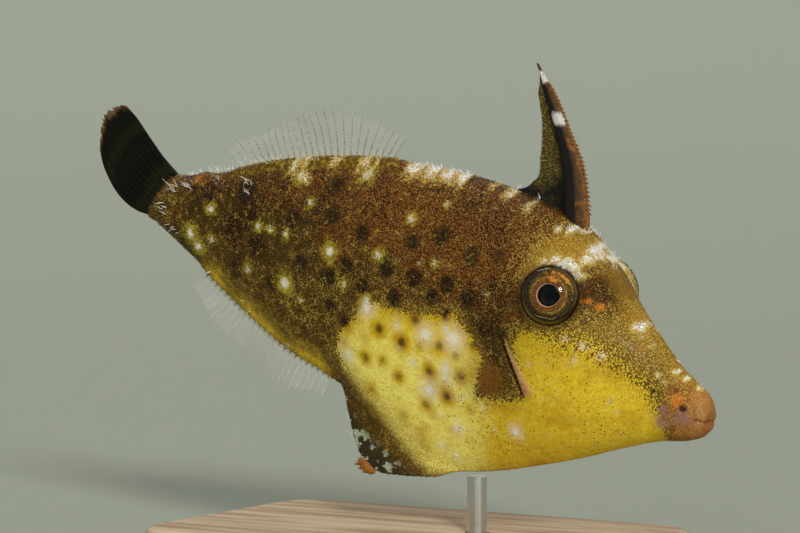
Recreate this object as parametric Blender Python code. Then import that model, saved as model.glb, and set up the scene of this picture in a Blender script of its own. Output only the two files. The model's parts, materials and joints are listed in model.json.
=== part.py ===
"""An aiptasia-eating filefish as a life-size still model: nose down, spine raised, on a plain display stand.

The fish is measured in its own level frame, in millimetres: s runs back from the tip of the snout, h up
from the body axis, and y out to the fish's left. An empty tilts that frame nose down over the stand.
"""

import math

import bmesh
import bpy
import numpy as np
from mathutils import Matrix, Vector

MM = 0.001
GAP = 0.3
HALF_SKIN = 0.25  # half the thinnest membrane

# How the fish is held: the tip of its snout is this far forward of the base's centre and above its underside
SNOUT_X = 33.8
SNOUT_Z = 17.8
NOSE_DOWN = math.radians(17.8)

# The outline of the body from the mouth to the root of the tail fin, as (s, h)
BACK_LINE = [
    (0.35, -0.85), (0.4, 0.4), (0.95, 1.35), (2.0, 1.95), (4.45, 2.95), (7.65, 4.95), (13.1, 8.65), (16.35, 10.85),
    (18.7, 12.3), (21.9, 13.15), (28.1, 13.55), (36.7, 12.85), (45.0, 11.0), (55.3, 7.2), (62.15, 3.65), (66.15, 2.0),
]
BELLY_LINE = [
    (0.35, -0.85), (0.05, -1.55), (0.4, -2.5), (1.5, -3.3), (4.5, -4.55), (7.75, -6.4), (12.6, -9.5), (16.6, -11.75),
    (21.05, -14.05), (25.65, -15.8), (30.65, -16.5), (36.25, -15.15), (41.45, -12.1), (48.75, -10.75), (55.65, -8.5),
    (62.8, -5.8), (68.3, -3.85),
]

# The body's cross-sections, by the share of the way from mouth to tail: half width, how high up the
# section the widest point is, and how fast the flank thins towards the belly's keel
HALF_WIDTHS = [
    (0.0, 0.0), (0.008, 0.7), (0.025, 1.3), (0.06, 1.95), (0.11, 2.6), (0.18, 4.0), (0.25, 5.5), (0.33, 6.1),
    (0.42, 5.9), (0.55, 5.0), (0.70, 3.8), (0.85, 2.6), (0.94, 2.1), (1.0, 1.9),
]
WIDEST_AT = [(0.0, 0.5), (0.10, 0.52), (0.30, 0.60), (0.50, 0.60), (0.75, 0.55), (1.0, 0.5)]
UPPER_THINNING = [(0.0, 0.5), (0.10, 0.6), (0.20, 0.58), (0.27, 0.46), (0.40, 0.55), (0.60, 0.7), (1.0, 0.6)]
LOWER_THINNING = [(0.0, 0.5), (0.10, 0.6), (0.30, 0.85), (0.45, 1.1), (0.60, 0.8), (1.0, 0.6)]
KEEL_HALF = 0.5
BODY_STATIONS = 60
SECTION_SIDES = 30

# Where the body is parted, as a point (s, h) on the cut and the cut's lean from upright
LIP_CUT = ((2.1, 0.0), 0.0)
GILL_CUT = ((20.3, -1.0), math.radians(22))
TAIL_CUT = ((60.8, 0.0), math.radians(-8))
MOUTH_H = -0.9

# Eyes: (s, h, y) of the right eye's middle, its radii, and how far it faces forward and up
EYE_AT = (17.3, 6.3, -6.5)
EYE_RADIUS = 2.85
EYE_DEPTH = 2.0
EYE_FORWARD = math.radians(14)
EYE_UP = math.radians(12)
RIM_RADIUS = 3.25
RIM_HALF = 0.42
RIM_OUT = 0.1
EYE_SWELL = 1.6  # how far the flank swells out round the eye
EYE_SWELL_REACH = 3.8
NOSTRILS = [(13.2, 6.5, 0.42), (14.2, 6.9, 0.34)]  # (s, h, radius)

# The gill opening is a short leaning slit, with a fleshy flap in it
GILL_TOP = (21.0, 0.6)
GILL_LOW = (17.4, -3.5)
GILL_HALF_WIDTH = 0.75
GILL_DEPTH = 1.0

# The first dorsal spine, by its front and rear edges from root to tip
SPINE_FRONT = [(18.55, 11.1), (18.6, 12.6), (19.4, 14.75), (21.15, 18.25), (23.5, 21.0), (26.15, 23.9), (29.2, 26.25)]
SPINE_REAR = [(21.9, 11.1), (21.85, 12.6), (22.5, 15.5), (23.7, 18.45), (25.35, 20.85), (27.15, 23.3), (29.2, 26.25)]
SPINE_ROOT_HALF = 1.0  # half its thickness from side to side, at the root and at the tip
SPINE_TIP_HALF = 0.22
SPINE_STATIONS = 22
SPINE_SIDES = 12
BARBS = 15
BARB_LENGTH = 0.6
BARB_RADIUS = 0.24
BARB_FIRST = 0.17  # the share of the spine's length where the row of thorns starts, and the row's length
BARB_STRETCH = 0.74
BARB_STEP = 0.03
BARB_SUNK = 0.22
BARB_DOWN = 0.25
BARB_OUT = 0.7
BARB_SHRINK = 0.35  # thorns near the tip are smaller by this share

# The web of skin behind the spine: its free edge, from near the spine's tip down to the back
WEB_EDGE = [(28.1, 23.4), (26.75, 20.45), (26.0, 17.5), (25.75, 15.8), (26.5, 14.75), (28.4, 13.9)]
WEB_ROWS = 12
WEB_COLUMNS = 5
WEB_TOP = 0.92  # the share of the spine's length where the web starts, and the stretch that it covers
WEB_STRETCH = 0.72
WEB_ROOT_HALF = 0.5
WEB_EDGE_HALF = 0.28
WEB_BULGE = 0.25
WEB_BULGE_WAVE = 2.5

# Soft fins: the stretch of back or belly that each grows from, as s; the number of rays; the rays' lengths
# and their lean back from upright at the front, a third of the way along and at the rear; and the sideways
# swing and number of the waves in the fin
DORSAL_FIN = {"line": "back", "root": (42.1, 59.6), "rays": 26, "lengths": (2.6, 4.7, 2.8),
              "lean": (-15.0, 18.0, 60.0), "sway": 13.0, "waves": 1.6}
ANAL_FIN = {"line": "belly", "root": (42.8, 60.2), "rays": 25, "lengths": (2.2, 4.0, 2.6),
            "lean": (0.0, 10.0, 42.0), "sway": -12.0, "waves": 1.4}
FIN_ROWS = 4
RAY_HALF = 0.42
RAY_TIP_HALF = 0.27
WEB_SHORT = 0.9  # the membrane ends short of the ray tips

# The tail fin: a half-closed fan between two edge rays, bent a little away from the camera's side
TAIL_UPPER = [(66.85, 1.5), (68.8, 2.4), (72.05, 4.05), (75.65, 5.8), (78.95, 6.6)]
TAIL_LOWER = [(68.7, -3.4), (71.15, -3.5), (74.05, -2.8), (77.0, -1.15), (80.1, 1.8)]
TAIL_RAYS = 12
TAIL_BEND = 1.6
TAIL_PLEAT = 0.12
TAIL_ROWS = 8
TAIL_ROOT_HALF = 0.8
TAIL_EDGE_SHORT = 0.11  # its edge rays are shorter than its middle ones by this share
TAIL_WEB_SHORT = 0.975
TAIL_EDGE_THIN = 0.35
TAIL_THINNING = 0.6
TAIL_WEB_THIN = 0.22

# Pectoral fins: small round fans behind the gill openings
PECTORAL_AT = (21.7, -4.0)
PECTORAL_ROOT = 2.6
PECTORAL_RAYS = 11
PECTORAL_LENGTH = 5.4
PECTORAL_OUT = math.radians(24)
PECTORAL_SPREAD = math.radians(28)
PECTORAL_LEAN = math.radians(12)
PECTORAL_ROWS = 4
PECTORAL_CLEAR = 0.35  # how far its root stands off the flank, and how far its tip bends back in
PECTORAL_SLANT = 0.25
PECTORAL_EDGE_SHORT = 0.25
PECTORAL_WEB_SHORT = 0.93
PECTORAL_RAY_HALF = 0.36

# The flap of skin under the belly, stretched by the pelvis, and the small barbed scute at its corner
FLAP_ROOT = (24.7, 41.2)  # the stretch of belly, as s
FLAP_EDGE = [(25.0, -16.3), (28.0, -17.4), (31.6, -18.6), (34.5, -19.2), (36.6, -18.4), (38.2, -16.6), (39.4, -14.8),
             (40.6, -13.6)]
FLAP_ROWS = 5
FLAP_COLUMNS = 22
FLAP_ROOT_HALF = 0.55
FLAP_EDGE_HALF = 0.3
SCUTE_AT = 0.60  # the share of the flap's edge where it sits
SCUTE_LENGTH = 2.4
SCUTE_HALF = 0.55
SCUTE_BARBS = 6
SCUTE_BARB_FAN = math.radians(75)
SCUTE_BARB_ROWS = (0.05, 0.3)  # shares of its length behind its middle
SCUTE_BARB_SUNK = 0.45
SCUTE_BARB_LEAN = 0.9
SCUTE_BARB_LENGTH = 0.7
SCUTE_BARB_RADIUS = 0.22

# The display stand
BASE_LENGTH = 50.0
BASE_DEPTH = 32.0
BASE_THICK = 4.5
BASE_CORNER = 5.0
BASE_BEVEL = 0.8
ROD_S = 23.2
ROD_RADIUS = 1.0
SOCKET_DEPTH = 1.5

COLOURS = {
    "skin_brown": ((0.20, 0.11, 0.03, 1), 0.55), "skin_yellow": ((0.62, 0.47, 0.07, 1), 0.5),
    "lip": ((0.55, 0.27, 0.12, 1), 0.45), "eye": ((0.16, 0.10, 0.03, 1), 0.12),
    "spine": ((0.30, 0.15, 0.04, 1), 0.5), "web": ((0.14, 0.13, 0.03, 1), 0.5),
    "fin": ((0.45, 0.42, 0.32, 1), 0.35), "tail": ((0.03, 0.035, 0.02, 1), 0.5),
    "gill": ((0.55, 0.33, 0.22, 1), 0.4), "wood": ((0.70, 0.58, 0.42, 1), 0.5),
    "steel": ((0.75, 0.75, 0.74, 1), 0.25),
}

for old in list(bpy.data.objects):
    bpy.data.objects.remove(old)
FISH = bpy.data.collections.new("filefish")
HELPERS = bpy.data.collections.new("cutters")
HELPERS.hide_render = True
bpy.context.scene.collection.children.link(FISH)
bpy.context.scene.collection.children.link(HELPERS)

level = bpy.data.objects.new("fish_frame", None)
level.location = (SNOUT_X * MM, 0, SNOUT_Z * MM)
level.rotation_euler = (0, NOSE_DOWN, 0)
FISH.objects.link(level)
bpy.context.view_layer.update()


def here(s, h, y=0.0):
    """A point of the fish's level frame, as a place in its empty, in metres."""
    return Vector((-s * MM, y * MM, h * MM))


def material(name):
    """The named finish, made once."""
    found = bpy.data.materials.get(name)
    if found:
        return found
    colour, rough = COLOURS[name]
    made = bpy.data.materials.new(name)
    made.use_nodes = True
    shader = made.node_tree.nodes["Principled BSDF"]
    shader.inputs["Base Color"].default_value = colour
    shader.inputs["Roughness"].default_value = rough
    shader.inputs["Metallic"].default_value = 1.0 if name == "steel" else 0.0
    return made


def object_from(name, made, finish, parent=level, collection=FISH):
    """A named object from a bmesh, with its faces turned out and rounded edges shaded smooth."""
    bmesh.ops.recalc_face_normals(made, faces=made.faces)
    if made.calc_volume(signed=True) < 0:
        bmesh.ops.reverse_faces(made, faces=made.faces)
    mesh = bpy.data.meshes.new(name)
    made.to_mesh(mesh)
    made.free()
    mesh.shade_smooth()
    obj = bpy.data.objects.new(name, mesh)
    obj.parent = parent
    if finish:
        mesh.materials.append(material(finish))
    collection.objects.link(obj)
    return obj


def helper_from(name, made):
    """A cutter or a piece to be joined, left out of the part itself."""
    obj = object_from(name, made, None, collection=HELPERS)
    obj.hide_render = True
    obj.display_type = "WIRE"
    return obj


def hermite(places, values, at):
    """A smooth curve through values at rising places, read at one place."""
    slopes = np.gradient(values, places, axis=0)
    k = int(np.clip(np.searchsorted(places, at, side="right") - 1, 0, len(places) - 2))
    width = places[k + 1] - places[k]
    t = (at - places[k]) / width
    return (
        (2 * t**3 - 3 * t**2 + 1) * values[k] + (t**3 - 2 * t**2 + t) * width * slopes[k]
        + (3 * t**2 - 2 * t**3) * values[k + 1] + (t**3 - t**2) * width * slopes[k + 1]
    )


def on_line(points, share):
    """The point (s, h) at a share of the length of a smooth line through the points."""
    line = np.array(points, float)
    run = np.concatenate([[0], np.cumsum(np.linalg.norm(np.diff(line, axis=0), axis=1))])
    return hermite(run / run[-1], line, share)


def share_at(points, s):
    """The share of the length of a line at which it passes s."""
    return min((k / 800 for k in range(801)), key=lambda share: abs(on_line(points, share)[0] - s))


def at_share(pairs, share):
    """A size that changes along the body, read at a share of the way from mouth to tail."""
    places, values = np.array(pairs, float).T
    return float(hermite(places, values, share))


def outward(points, share, upward):
    """The line's unit normal at a share, towards the back if upward and else towards the belly."""
    step = 0.002
    along = on_line(points, min(1, share + step)) - on_line(points, max(0, share - step))
    normal = np.array([-along[1], along[0]]) / np.linalg.norm(along)
    return normal if (normal[1] > 0) == upward else -normal


def swelling(s, h):
    """How far the flank swells out at (s, h) to carry the eye."""
    distance = math.hypot(s - EYE_AT[0], h - EYE_AT[1])
    return EYE_SWELL * math.exp(-0.5 * (distance / EYE_SWELL_REACH) ** 2)


def body_section(share):
    """One closed ring of the body: points (s, h, y) from the back down the left side and up the right."""
    top = on_line(BACK_LINE, share)
    low = on_line(BELLY_LINE, share)
    middle = low + (top - low) * at_share(WIDEST_AT, share)
    half = at_share(HALF_WIDTHS, share)
    ring = []
    for k in range(SECTION_SIDES):
        turn = 2 * math.pi * k / SECTION_SIDES
        rise, out = math.cos(turn), abs(math.sin(turn))
        end, thinning = (top, UPPER_THINNING) if rise >= 0 else (low, LOWER_THINNING)
        flank = half * out ** (2 * at_share(thinning, share))
        keel = min(KEEL_HALF, half) * out
        s, h = middle + (end - middle) * abs(rise)
        ring.append((s, h, math.copysign(math.hypot(flank, keel) + swelling(s, h) * out, math.sin(turn))))
    return ring


def lofted(rings, first_point=None, last_point=None):
    """A closed bmesh through rings of (s, h, y) points, with each end closed by a point or a flat cap."""
    made = bmesh.new()
    loops = [[made.verts.new(here(*p)) for p in ring] for ring in rings]
    sides = len(loops[0])
    for a, b in zip(loops, loops[1:]):
        for k in range(sides):
            made.faces.new((a[k], a[(k + 1) % sides], b[(k + 1) % sides], b[k]))
    for loop, point in ((loops[0], first_point), (loops[-1], last_point)):
        if point is None:
            made.faces.new(loop)
            continue
        tip = made.verts.new(here(*point))
        for k in range(sides):
            made.faces.new((loop[k], loop[(k + 1) % sides], tip))
    return made


def whole_body():
    """The body from lips to tail root as one closed form, with stations set closer at the snout."""
    shares = [(k / BODY_STATIONS) ** 1.3 for k in range(1, BODY_STATIONS + 1)]
    return lofted([body_section(share) for share in shares], first_point=(*BACK_LINE[0], 0.0))


def trimmed(made, at, lean, keep_front, shift=0.0):
    """Cuts the bmesh across at (s, h), keeps the front or the rear side, and closes it with a flat face."""
    facing = Vector((math.cos(lean), 0, math.sin(lean)))  # towards the snout
    side = facing if keep_front else -facing
    geometry = made.verts[:] + made.edges[:] + made.faces[:]
    bmesh.ops.bisect_plane(
        made, geom=geometry, dist=1e-7, plane_co=here(*at) + side * shift * MM, plane_no=side, clear_inner=True
    )
    bmesh.ops.holes_fill(made, edges=[e for e in made.edges if e.is_boundary])
    return made


def split_at_mouth(made, keep_upper):
    """Keeps the part above or below the line of the mouth."""
    side = Vector((0, 0, 1 if keep_upper else -1))
    geometry = made.verts[:] + made.edges[:] + made.faces[:]
    bmesh.ops.bisect_plane(
        made, geom=geometry, dist=1e-7, plane_co=here(0, MOUTH_H) + side * GAP / 2 * MM, plane_no=side, clear_inner=True
    )
    bmesh.ops.holes_fill(made, edges=[e for e in made.edges if e.is_boundary])
    return made


def placed(at, across, up, out):
    """A matrix at (s, h, y) whose axes are three vectors (s, h, y), scaled to millimetres."""
    columns = [here(*v) for v in (across, up, out)]
    return Matrix.Translation(here(*at)) @ Matrix([[c[i] for c in columns] for i in range(3)]).to_4x4()


def eye_axes(side):
    """The eye's across, up and outward directions, for side -1 (right) or 1 (left)."""
    out = np.array([-math.sin(EYE_FORWARD), math.sin(EYE_UP), side * math.cos(EYE_FORWARD) * math.cos(EYE_UP)])
    out /= np.linalg.norm(out)
    up = np.array([0.0, 1.0, 0.0]) - out[1] * out
    up /= np.linalg.norm(up)
    return np.cross(up, out), up, out


def eye_centre(side, out_by=0.0):
    s, h, y = EYE_AT
    return np.array([s, h, abs(y) * side]) + eye_axes(side)[2] * out_by


def ellipsoid(at, axes, radii, sides=20, rings=10):
    made = bmesh.new()
    stretched = [np.array(v) * r for v, r in zip(axes, radii)]
    bmesh.ops.create_uvsphere(made, u_segments=sides, v_segments=rings, radius=1.0, matrix=placed(at, *stretched))
    return made


def eye_rim(side):
    """The raised ring of skin round the eye, as a ring of small circles."""
    across, up, out = eye_axes(side)
    centre = eye_centre(side, RIM_OUT)
    made, turns, sides = bmesh.new(), 26, 7
    loops = []
    for i in range(turns):
        a = 2 * math.pi * i / turns
        radial = across * math.cos(a) + up * math.sin(a)
        loops.append([
            made.verts.new(here(*(centre + radial * (RIM_RADIUS + RIM_HALF * math.cos(b)) + out * RIM_HALF * math.sin(b))))
            for b in (2 * math.pi * j / sides for j in range(sides))
        ])
    for i in range(turns):
        a, b = loops[i], loops[(i + 1) % turns]
        for j in range(sides):
            made.faces.new((a[j], a[(j + 1) % sides], b[(j + 1) % sides], b[j]))
    return made


def flank_at(s, h):
    """Half the body's width at a point (s, h) of its side, found on the section nearest to it."""
    best = min((k / 400 for k in range(20, 400)), key=lambda q: abs(section_s(q, h) - s))
    top, low = on_line(BACK_LINE, best), on_line(BELLY_LINE, best)
    middle = low + (top - low) * at_share(WIDEST_AT, best)
    end, thinning = (top, UPPER_THINNING) if h >= middle[1] else (low, LOWER_THINNING)
    rise = min(1.0, abs((h - middle[1]) / (end[1] - middle[1])))
    out = math.sqrt(1 - rise**2)
    return at_share(HALF_WIDTHS, best) * out ** (2 * at_share(thinning, best)) + swelling(s, h) * out


def section_s(share, h):
    """Where the section at a share crosses the height h."""
    top, low = on_line(BACK_LINE, share), on_line(BELLY_LINE, share)
    return low[0] + (top[0] - low[0]) * (h - low[1]) / (top[1] - low[1])


def gill_axes(side):
    along = np.array([GILL_TOP[0] - GILL_LOW[0], GILL_TOP[1] - GILL_LOW[1], 0.0])
    length = np.linalg.norm(along)
    along /= length
    out = np.array([0.0, 0.0, float(side)])
    return np.cross(along, out), along, out, length / 2


def gill_piece(side, grow):
    """The flap that lies in the gill opening, or with grow the space cut for it."""
    across, along, out, half_length = gill_axes(side)
    middle = (np.array(GILL_TOP) + np.array(GILL_LOW)) / 2
    at = (*middle, side * (flank_at(*middle) - GILL_DEPTH / 4))
    radii = (GILL_HALF_WIDTH + grow, half_length + grow, GILL_DEPTH + grow)
    return ellipsoid(at, (across, along, out), radii, sides=16, rings=8)


def boolean(obj, others, operation):
    """Joins or cuts with several helper objects in one step, applies it and removes them."""
    together = bpy.data.collections.new("together")
    HELPERS.children.link(together)
    for other in others:
        HELPERS.objects.unlink(other)
        together.objects.link(other)
    step = obj.modifiers.new(operation.lower(), "BOOLEAN")
    step.operand_type = "COLLECTION"
    step.collection = together
    step.operation = operation
    step.solver = "EXACT"
    bpy.context.view_layer.update()
    graph = bpy.context.evaluated_depsgraph_get()
    done = bpy.data.meshes.new_from_object(obj.evaluated_get(graph))
    obj.modifiers.clear()
    finish = obj.data.materials[0] if obj.data.materials else None
    obj.data = done
    done.materials.clear()
    if finish:
        done.materials.append(finish)
    for other in others:
        bpy.data.objects.remove(other)
    bpy.data.collections.remove(together)
    keep_largest(obj)


def keep_largest(obj):
    """Drops all but the largest closed surface of an object."""
    made = bmesh.new()
    made.from_mesh(obj.data)
    bmesh.ops.remove_doubles(made, verts=made.verts, dist=1e-6)
    bmesh.ops.triangulate(made, faces=made.faces)
    made.verts.ensure_lookup_table()
    unseen, shells = set(made.verts), []
    while unseen:
        stack, shell = [unseen.pop()], []
        while stack:
            vert = stack.pop()
            shell.append(vert)
            for edge in vert.link_edges:
                other = edge.other_vert(vert)
                if other in unseen:
                    unseen.remove(other)
                    stack.append(other)
        shells.append(shell)
    shells.sort(key=len)
    bmesh.ops.delete(made, geom=[v for shell in shells[:-1] for v in shell], context="VERTS")
    made.to_mesh(obj.data)
    made.free()


def vane(name, centre, half_thick, finish):
    """A thin closed sheet over a grid of (s, h, y) points, with the same triangles on both faces."""
    centre = np.array(centre, float)
    rows, columns = centre.shape[:2]
    along, across = np.gradient(centre, axis=0), np.gradient(centre, axis=1)
    normal = np.cross(along, across)
    length = np.linalg.norm(normal, axis=2, keepdims=True)
    normal /= np.where(length > 1e-9, length, 1)
    offset = normal * np.array(half_thick, float)[:, :, None]
    made = bmesh.new()
    faces = [
        [[made.verts.new(here(*p)) for p in row] for row in centre + side * offset] for side in (1, -1)
    ]
    for face, turned in zip(faces, (False, True)):
        for i in range(rows - 1):
            for j in range(columns - 1):
                a, b, c, d = face[i][j], face[i][j + 1], face[i + 1][j + 1], face[i + 1][j]
                for triangle in ((a, b, c), (a, c, d)):
                    made.faces.new(triangle[::-1] if turned else triangle)
    border = [(0, j) for j in range(columns)] + [(i, columns - 1) for i in range(1, rows)]
    border += [(rows - 1, j) for j in range(columns - 2, -1, -1)] + [(i, 0) for i in range(rows - 2, 0, -1)]
    for (i, j), (k, m) in zip(border, border[1:] + border[:1]):
        made.faces.new((faces[0][i][j], faces[0][k][m], faces[1][k][m], faces[1][i][j]))
    return object_from(name, made, finish)


def three_point(values, share):
    """A value that is given at the front, a third of the way along and at the rear."""
    return float(hermite(np.array([0.0, 0.34, 1.0]), np.array(values, float), share))


def ray_fin(name, fin):
    """A long soft fin: rays as ridges on a thin membrane, fanned back and swaying in a wave."""
    upward = fin["line"] == "back"
    line = BACK_LINE if upward else BELLY_LINE
    first, last = (share_at(line, s) for s in fin["root"])
    columns = 2 * fin["rays"] - 1
    grid = [[None] * columns for _ in range(FIN_ROWS + 1)]
    thick = np.zeros((FIN_ROWS + 1, columns))
    for j in range(columns):
        share = j / (columns - 1)
        on_ray = j % 2 == 0
        place = first + (last - first) * share
        lean = math.radians(three_point(fin["lean"], share))
        sway = math.radians(fin["sway"]) * math.sin(2 * math.pi * fin["waves"] * share + 0.6)
        length = three_point(fin["lengths"], share) * (1.0 if on_ray else WEB_SHORT)
        root = on_line(line, place) + outward(line, place, upward) * GAP
        reach = np.array([math.sin(lean), math.cos(lean) if upward else -math.cos(lean)])
        for i in range(FIN_ROWS + 1):
            out = i / FIN_ROWS
            s, h = root + reach * length * out * math.cos(sway * out)
            grid[i][j] = (s, h, length * out * math.sin(sway * out))
            thick[i, j] = RAY_HALF + (RAY_TIP_HALF - RAY_HALF) * out if on_ray else HALF_SKIN
    return vane(name, grid, thick, "fin")


def tail_fin():
    """The half-closed fan of the tail fin, pleated at its rays and bent out of the body's plane."""
    columns = 2 * TAIL_RAYS - 1
    grid = [[None] * columns for _ in range(TAIL_ROWS + 1)]
    thick = np.zeros((TAIL_ROWS + 1, columns))
    for j in range(columns):
        share = j / (columns - 1)
        on_ray = j % 2 == 0
        across = 2 * share - 1  # -1 at the lower edge, 1 at the upper
        length = (1 - TAIL_EDGE_SHORT * across**2) * (1.0 if on_ray else TAIL_WEB_SHORT)
        for i in range(TAIL_ROWS + 1):
            out = i / TAIL_ROWS
            low, high = on_line(TAIL_LOWER, out * length), on_line(TAIL_UPPER, out * length)
            pleat = (TAIL_PLEAT if on_ray else -TAIL_PLEAT) * out
            grid[i][j] = (*(low + (high - low) * share), TAIL_BEND * out**2 + pleat)
            root_half = TAIL_ROOT_HALF * (1 - TAIL_EDGE_THIN * across**2)
            ray = root_half + (RAY_TIP_HALF - root_half) * out**TAIL_THINNING
            thick[i, j] = ray if on_ray else max(HALF_SKIN, ray - TAIL_WEB_THIN)
    return vane("caudal_fin", grid, thick, "tail")


def pectoral_fin(side):
    """A small fan that stands out and back from the flank behind the gill opening."""
    columns = 2 * PECTORAL_RAYS - 1
    grid = [[None] * columns for _ in range(PECTORAL_ROWS + 1)]
    thick = np.zeros((PECTORAL_ROWS + 1, columns))
    for j in range(columns):
        share = j / (columns - 1)
        on_ray = j % 2 == 0
        across = 2 * share - 1
        s0 = PECTORAL_AT[0] + PECTORAL_SLANT * across * PECTORAL_ROOT / 2
        h0 = PECTORAL_AT[1] + across * PECTORAL_ROOT / 2
        y0 = flank_at(s0, h0) + GAP + PECTORAL_CLEAR
        angle = -PECTORAL_LEAN + PECTORAL_SPREAD * across
        length = PECTORAL_LENGTH * (1 - PECTORAL_EDGE_SHORT * across**2) * (1.0 if on_ray else PECTORAL_WEB_SHORT)
        for i in range(PECTORAL_ROWS + 1):
            out = i / PECTORAL_ROWS
            flat = math.cos(PECTORAL_OUT) * length * out
            y = y0 + math.sin(PECTORAL_OUT) * length * out - PECTORAL_CLEAR * out**2
            grid[i][j] = (s0 + flat * math.cos(angle), h0 + flat * math.sin(angle), side * y)
            ray = PECTORAL_RAY_HALF + (RAY_TIP_HALF - PECTORAL_RAY_HALF) * out
            thick[i, j] = ray if on_ray else HALF_SKIN
    name = "pectoral_fin_right" if side < 0 else "pectoral_fin_left"
    return vane(name, grid, thick, "fin")


def spine_section(share, grow=0.0):
    """One ring of the first dorsal spine: a rounded lozenge, sharper at its front and rear edges."""
    front, rear = on_line(SPINE_FRONT, share), on_line(SPINE_REAR, share)
    middle, half = (front + rear) / 2, (rear - front) / 2
    size = np.linalg.norm(half)
    half = half / size * (size + grow) if size > 1e-6 else half
    side = SPINE_ROOT_HALF + (SPINE_TIP_HALF - SPINE_ROOT_HALF) * share + grow
    ring = []
    for k in range(SPINE_SIDES):
        a = 2 * math.pi * k / SPINE_SIDES
        ring.append((*(middle + half * math.cos(a)), side * math.copysign(abs(math.sin(a)) ** 1.2, math.sin(a))))
    return ring


def barb(at, direction, length, radius):
    """A small four-sided thorn."""
    made = bmesh.new()
    turn = here(*direction).normalized().to_track_quat("Z", "X").to_matrix().to_4x4()
    middle = here(*at) + here(*direction).normalized() * length * 0.2 * MM
    bmesh.ops.create_cone(
        made, cap_ends=True, segments=5, radius1=radius * MM, radius2=radius * 0.12 * MM, depth=length * MM,
        matrix=Matrix.Translation(middle) @ turn,
    )
    return made


def dorsal_spine():
    """The first dorsal spine, with a row of thorns down each side of its front edge."""
    shares = [k / SPINE_STATIONS for k in range(SPINE_STATIONS)]
    tip = (*SPINE_FRONT[-1], 0.0)
    spine = object_from("dorsal_spine", lofted([spine_section(q) for q in shares], last_point=tip), "spine")
    thorns = []
    for k in range(BARBS):
        q = BARB_FIRST + BARB_STRETCH * k / (BARBS - 1)
        front, rear = on_line(SPINE_FRONT, q), on_line(SPINE_REAR, q)
        ahead = (front - rear) / np.linalg.norm(front - rear)
        down = on_line(SPINE_FRONT, q - BARB_STEP) - on_line(SPINE_FRONT, q + BARB_STEP)
        down /= np.linalg.norm(down)
        shrink = 1 - BARB_SHRINK * q
        for side in (-1, 1):
            at = (*(front - ahead * BARB_SUNK), side * BARB_SUNK * shrink)
            direction = (*(ahead + down * BARB_DOWN), side * BARB_OUT)
            thorns.append(helper_from("thorn", barb(at, direction, BARB_LENGTH * shrink, BARB_RADIUS * shrink)))
    boolean(spine, thorns, "UNION")
    return spine


def spine_web():
    """The web of skin from the spine's rear edge to the back."""
    grid, thick = [], []
    for i in range(WEB_ROWS + 1):
        down = i / WEB_ROWS
        share = WEB_TOP - WEB_STRETCH * down
        inner, front = on_line(SPINE_REAR, share), on_line(SPINE_FRONT, share)
        inner = inner + (inner - front) / np.linalg.norm(inner - front) * (GAP + 0.02)
        outer = on_line(WEB_EDGE, down)
        grid.append([(*(inner + (outer - inner) * j / WEB_COLUMNS), 0.0) for j in range(WEB_COLUMNS + 1)])
        thinning = WEB_ROOT_HALF - WEB_EDGE_HALF
        thick.append([WEB_ROOT_HALF - thinning * j / WEB_COLUMNS for j in range(WEB_COLUMNS + 1)])
    for j in range(WEB_COLUMNS + 1):
        s, h, _ = grid[-1][j]
        drop = top_of_back(s) + GAP + 0.05 - h
        for i in range(WEB_ROWS + 1):
            s, h, _ = grid[i][j]
            wave = math.sin(math.pi * j / WEB_COLUMNS) * math.sin(WEB_BULGE_WAVE * i / WEB_ROWS)
            bulge = WEB_BULGE * wave
            grid[i][j] = (s, h + drop * (i / WEB_ROWS) ** 2, bulge)
    return vane("spine_membrane", grid, thick, "web")


def top_of_back(s):
    """The height of the back's outline at s."""
    return on_line(BACK_LINE, share_at(BACK_LINE, s))[1]


def pelvic_flap():
    """The thin flap of skin along the rear of the belly."""
    first, last = (share_at(BELLY_LINE, s) for s in FLAP_ROOT)
    grid, thick = [], []
    for i in range(FLAP_ROWS + 1):
        out = i / FLAP_ROWS
        row, half = [], []
        for j in range(FLAP_COLUMNS + 1):
            share = j / FLAP_COLUMNS
            place = first + (last - first) * share
            root = on_line(BELLY_LINE, place) + outward(BELLY_LINE, place, False) * GAP
            edge = on_line(FLAP_EDGE, share)
            row.append((*(root + (edge - root) * out), 0.0))
            half.append(FLAP_ROOT_HALF + (FLAP_EDGE_HALF - FLAP_ROOT_HALF) * out)
        grid.append(row)
        thick.append(half)
    return vane("pelvic_flap", grid, thick, "skin_brown")


def pelvic_scute():
    """The small barbed scute that caps the end of the pelvis, at the flap's corner."""
    along = on_line(FLAP_EDGE, SCUTE_AT + 0.02) - on_line(FLAP_EDGE, SCUTE_AT - 0.02)
    along /= np.linalg.norm(along)
    under = outward(FLAP_EDGE, SCUTE_AT, False)
    centre = on_line(FLAP_EDGE, SCUTE_AT) + under * (SCUTE_HALF + GAP)
    axes = ((*along, 0.0), (*under, 0.0), (0.0, 0.0, 1.0))
    radii = (SCUTE_LENGTH / 2, SCUTE_HALF, SCUTE_HALF * 0.9)
    scute = object_from("pelvic_spine", ellipsoid((*centre, 0.0), axes, radii, 14, 8), "spine")
    thorns = []
    for k in range(SCUTE_BARBS):
        turn = SCUTE_BARB_FAN * (k % 3 - 1)
        place = centre + along * SCUTE_LENGTH * SCUTE_BARB_ROWS[k // 3]
        out = under * math.cos(turn)
        sunk = SCUTE_HALF * SCUTE_BARB_SUNK
        at = (*(place + out * sunk), math.sin(turn) * sunk)
        direction = (*(out + along * SCUTE_BARB_LEAN), math.sin(turn))
        thorns.append(helper_from("thorn", barb(at, direction, SCUTE_BARB_LENGTH, SCUTE_BARB_RADIUS)))
    boolean(scute, thorns, "UNION")
    return scute


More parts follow.
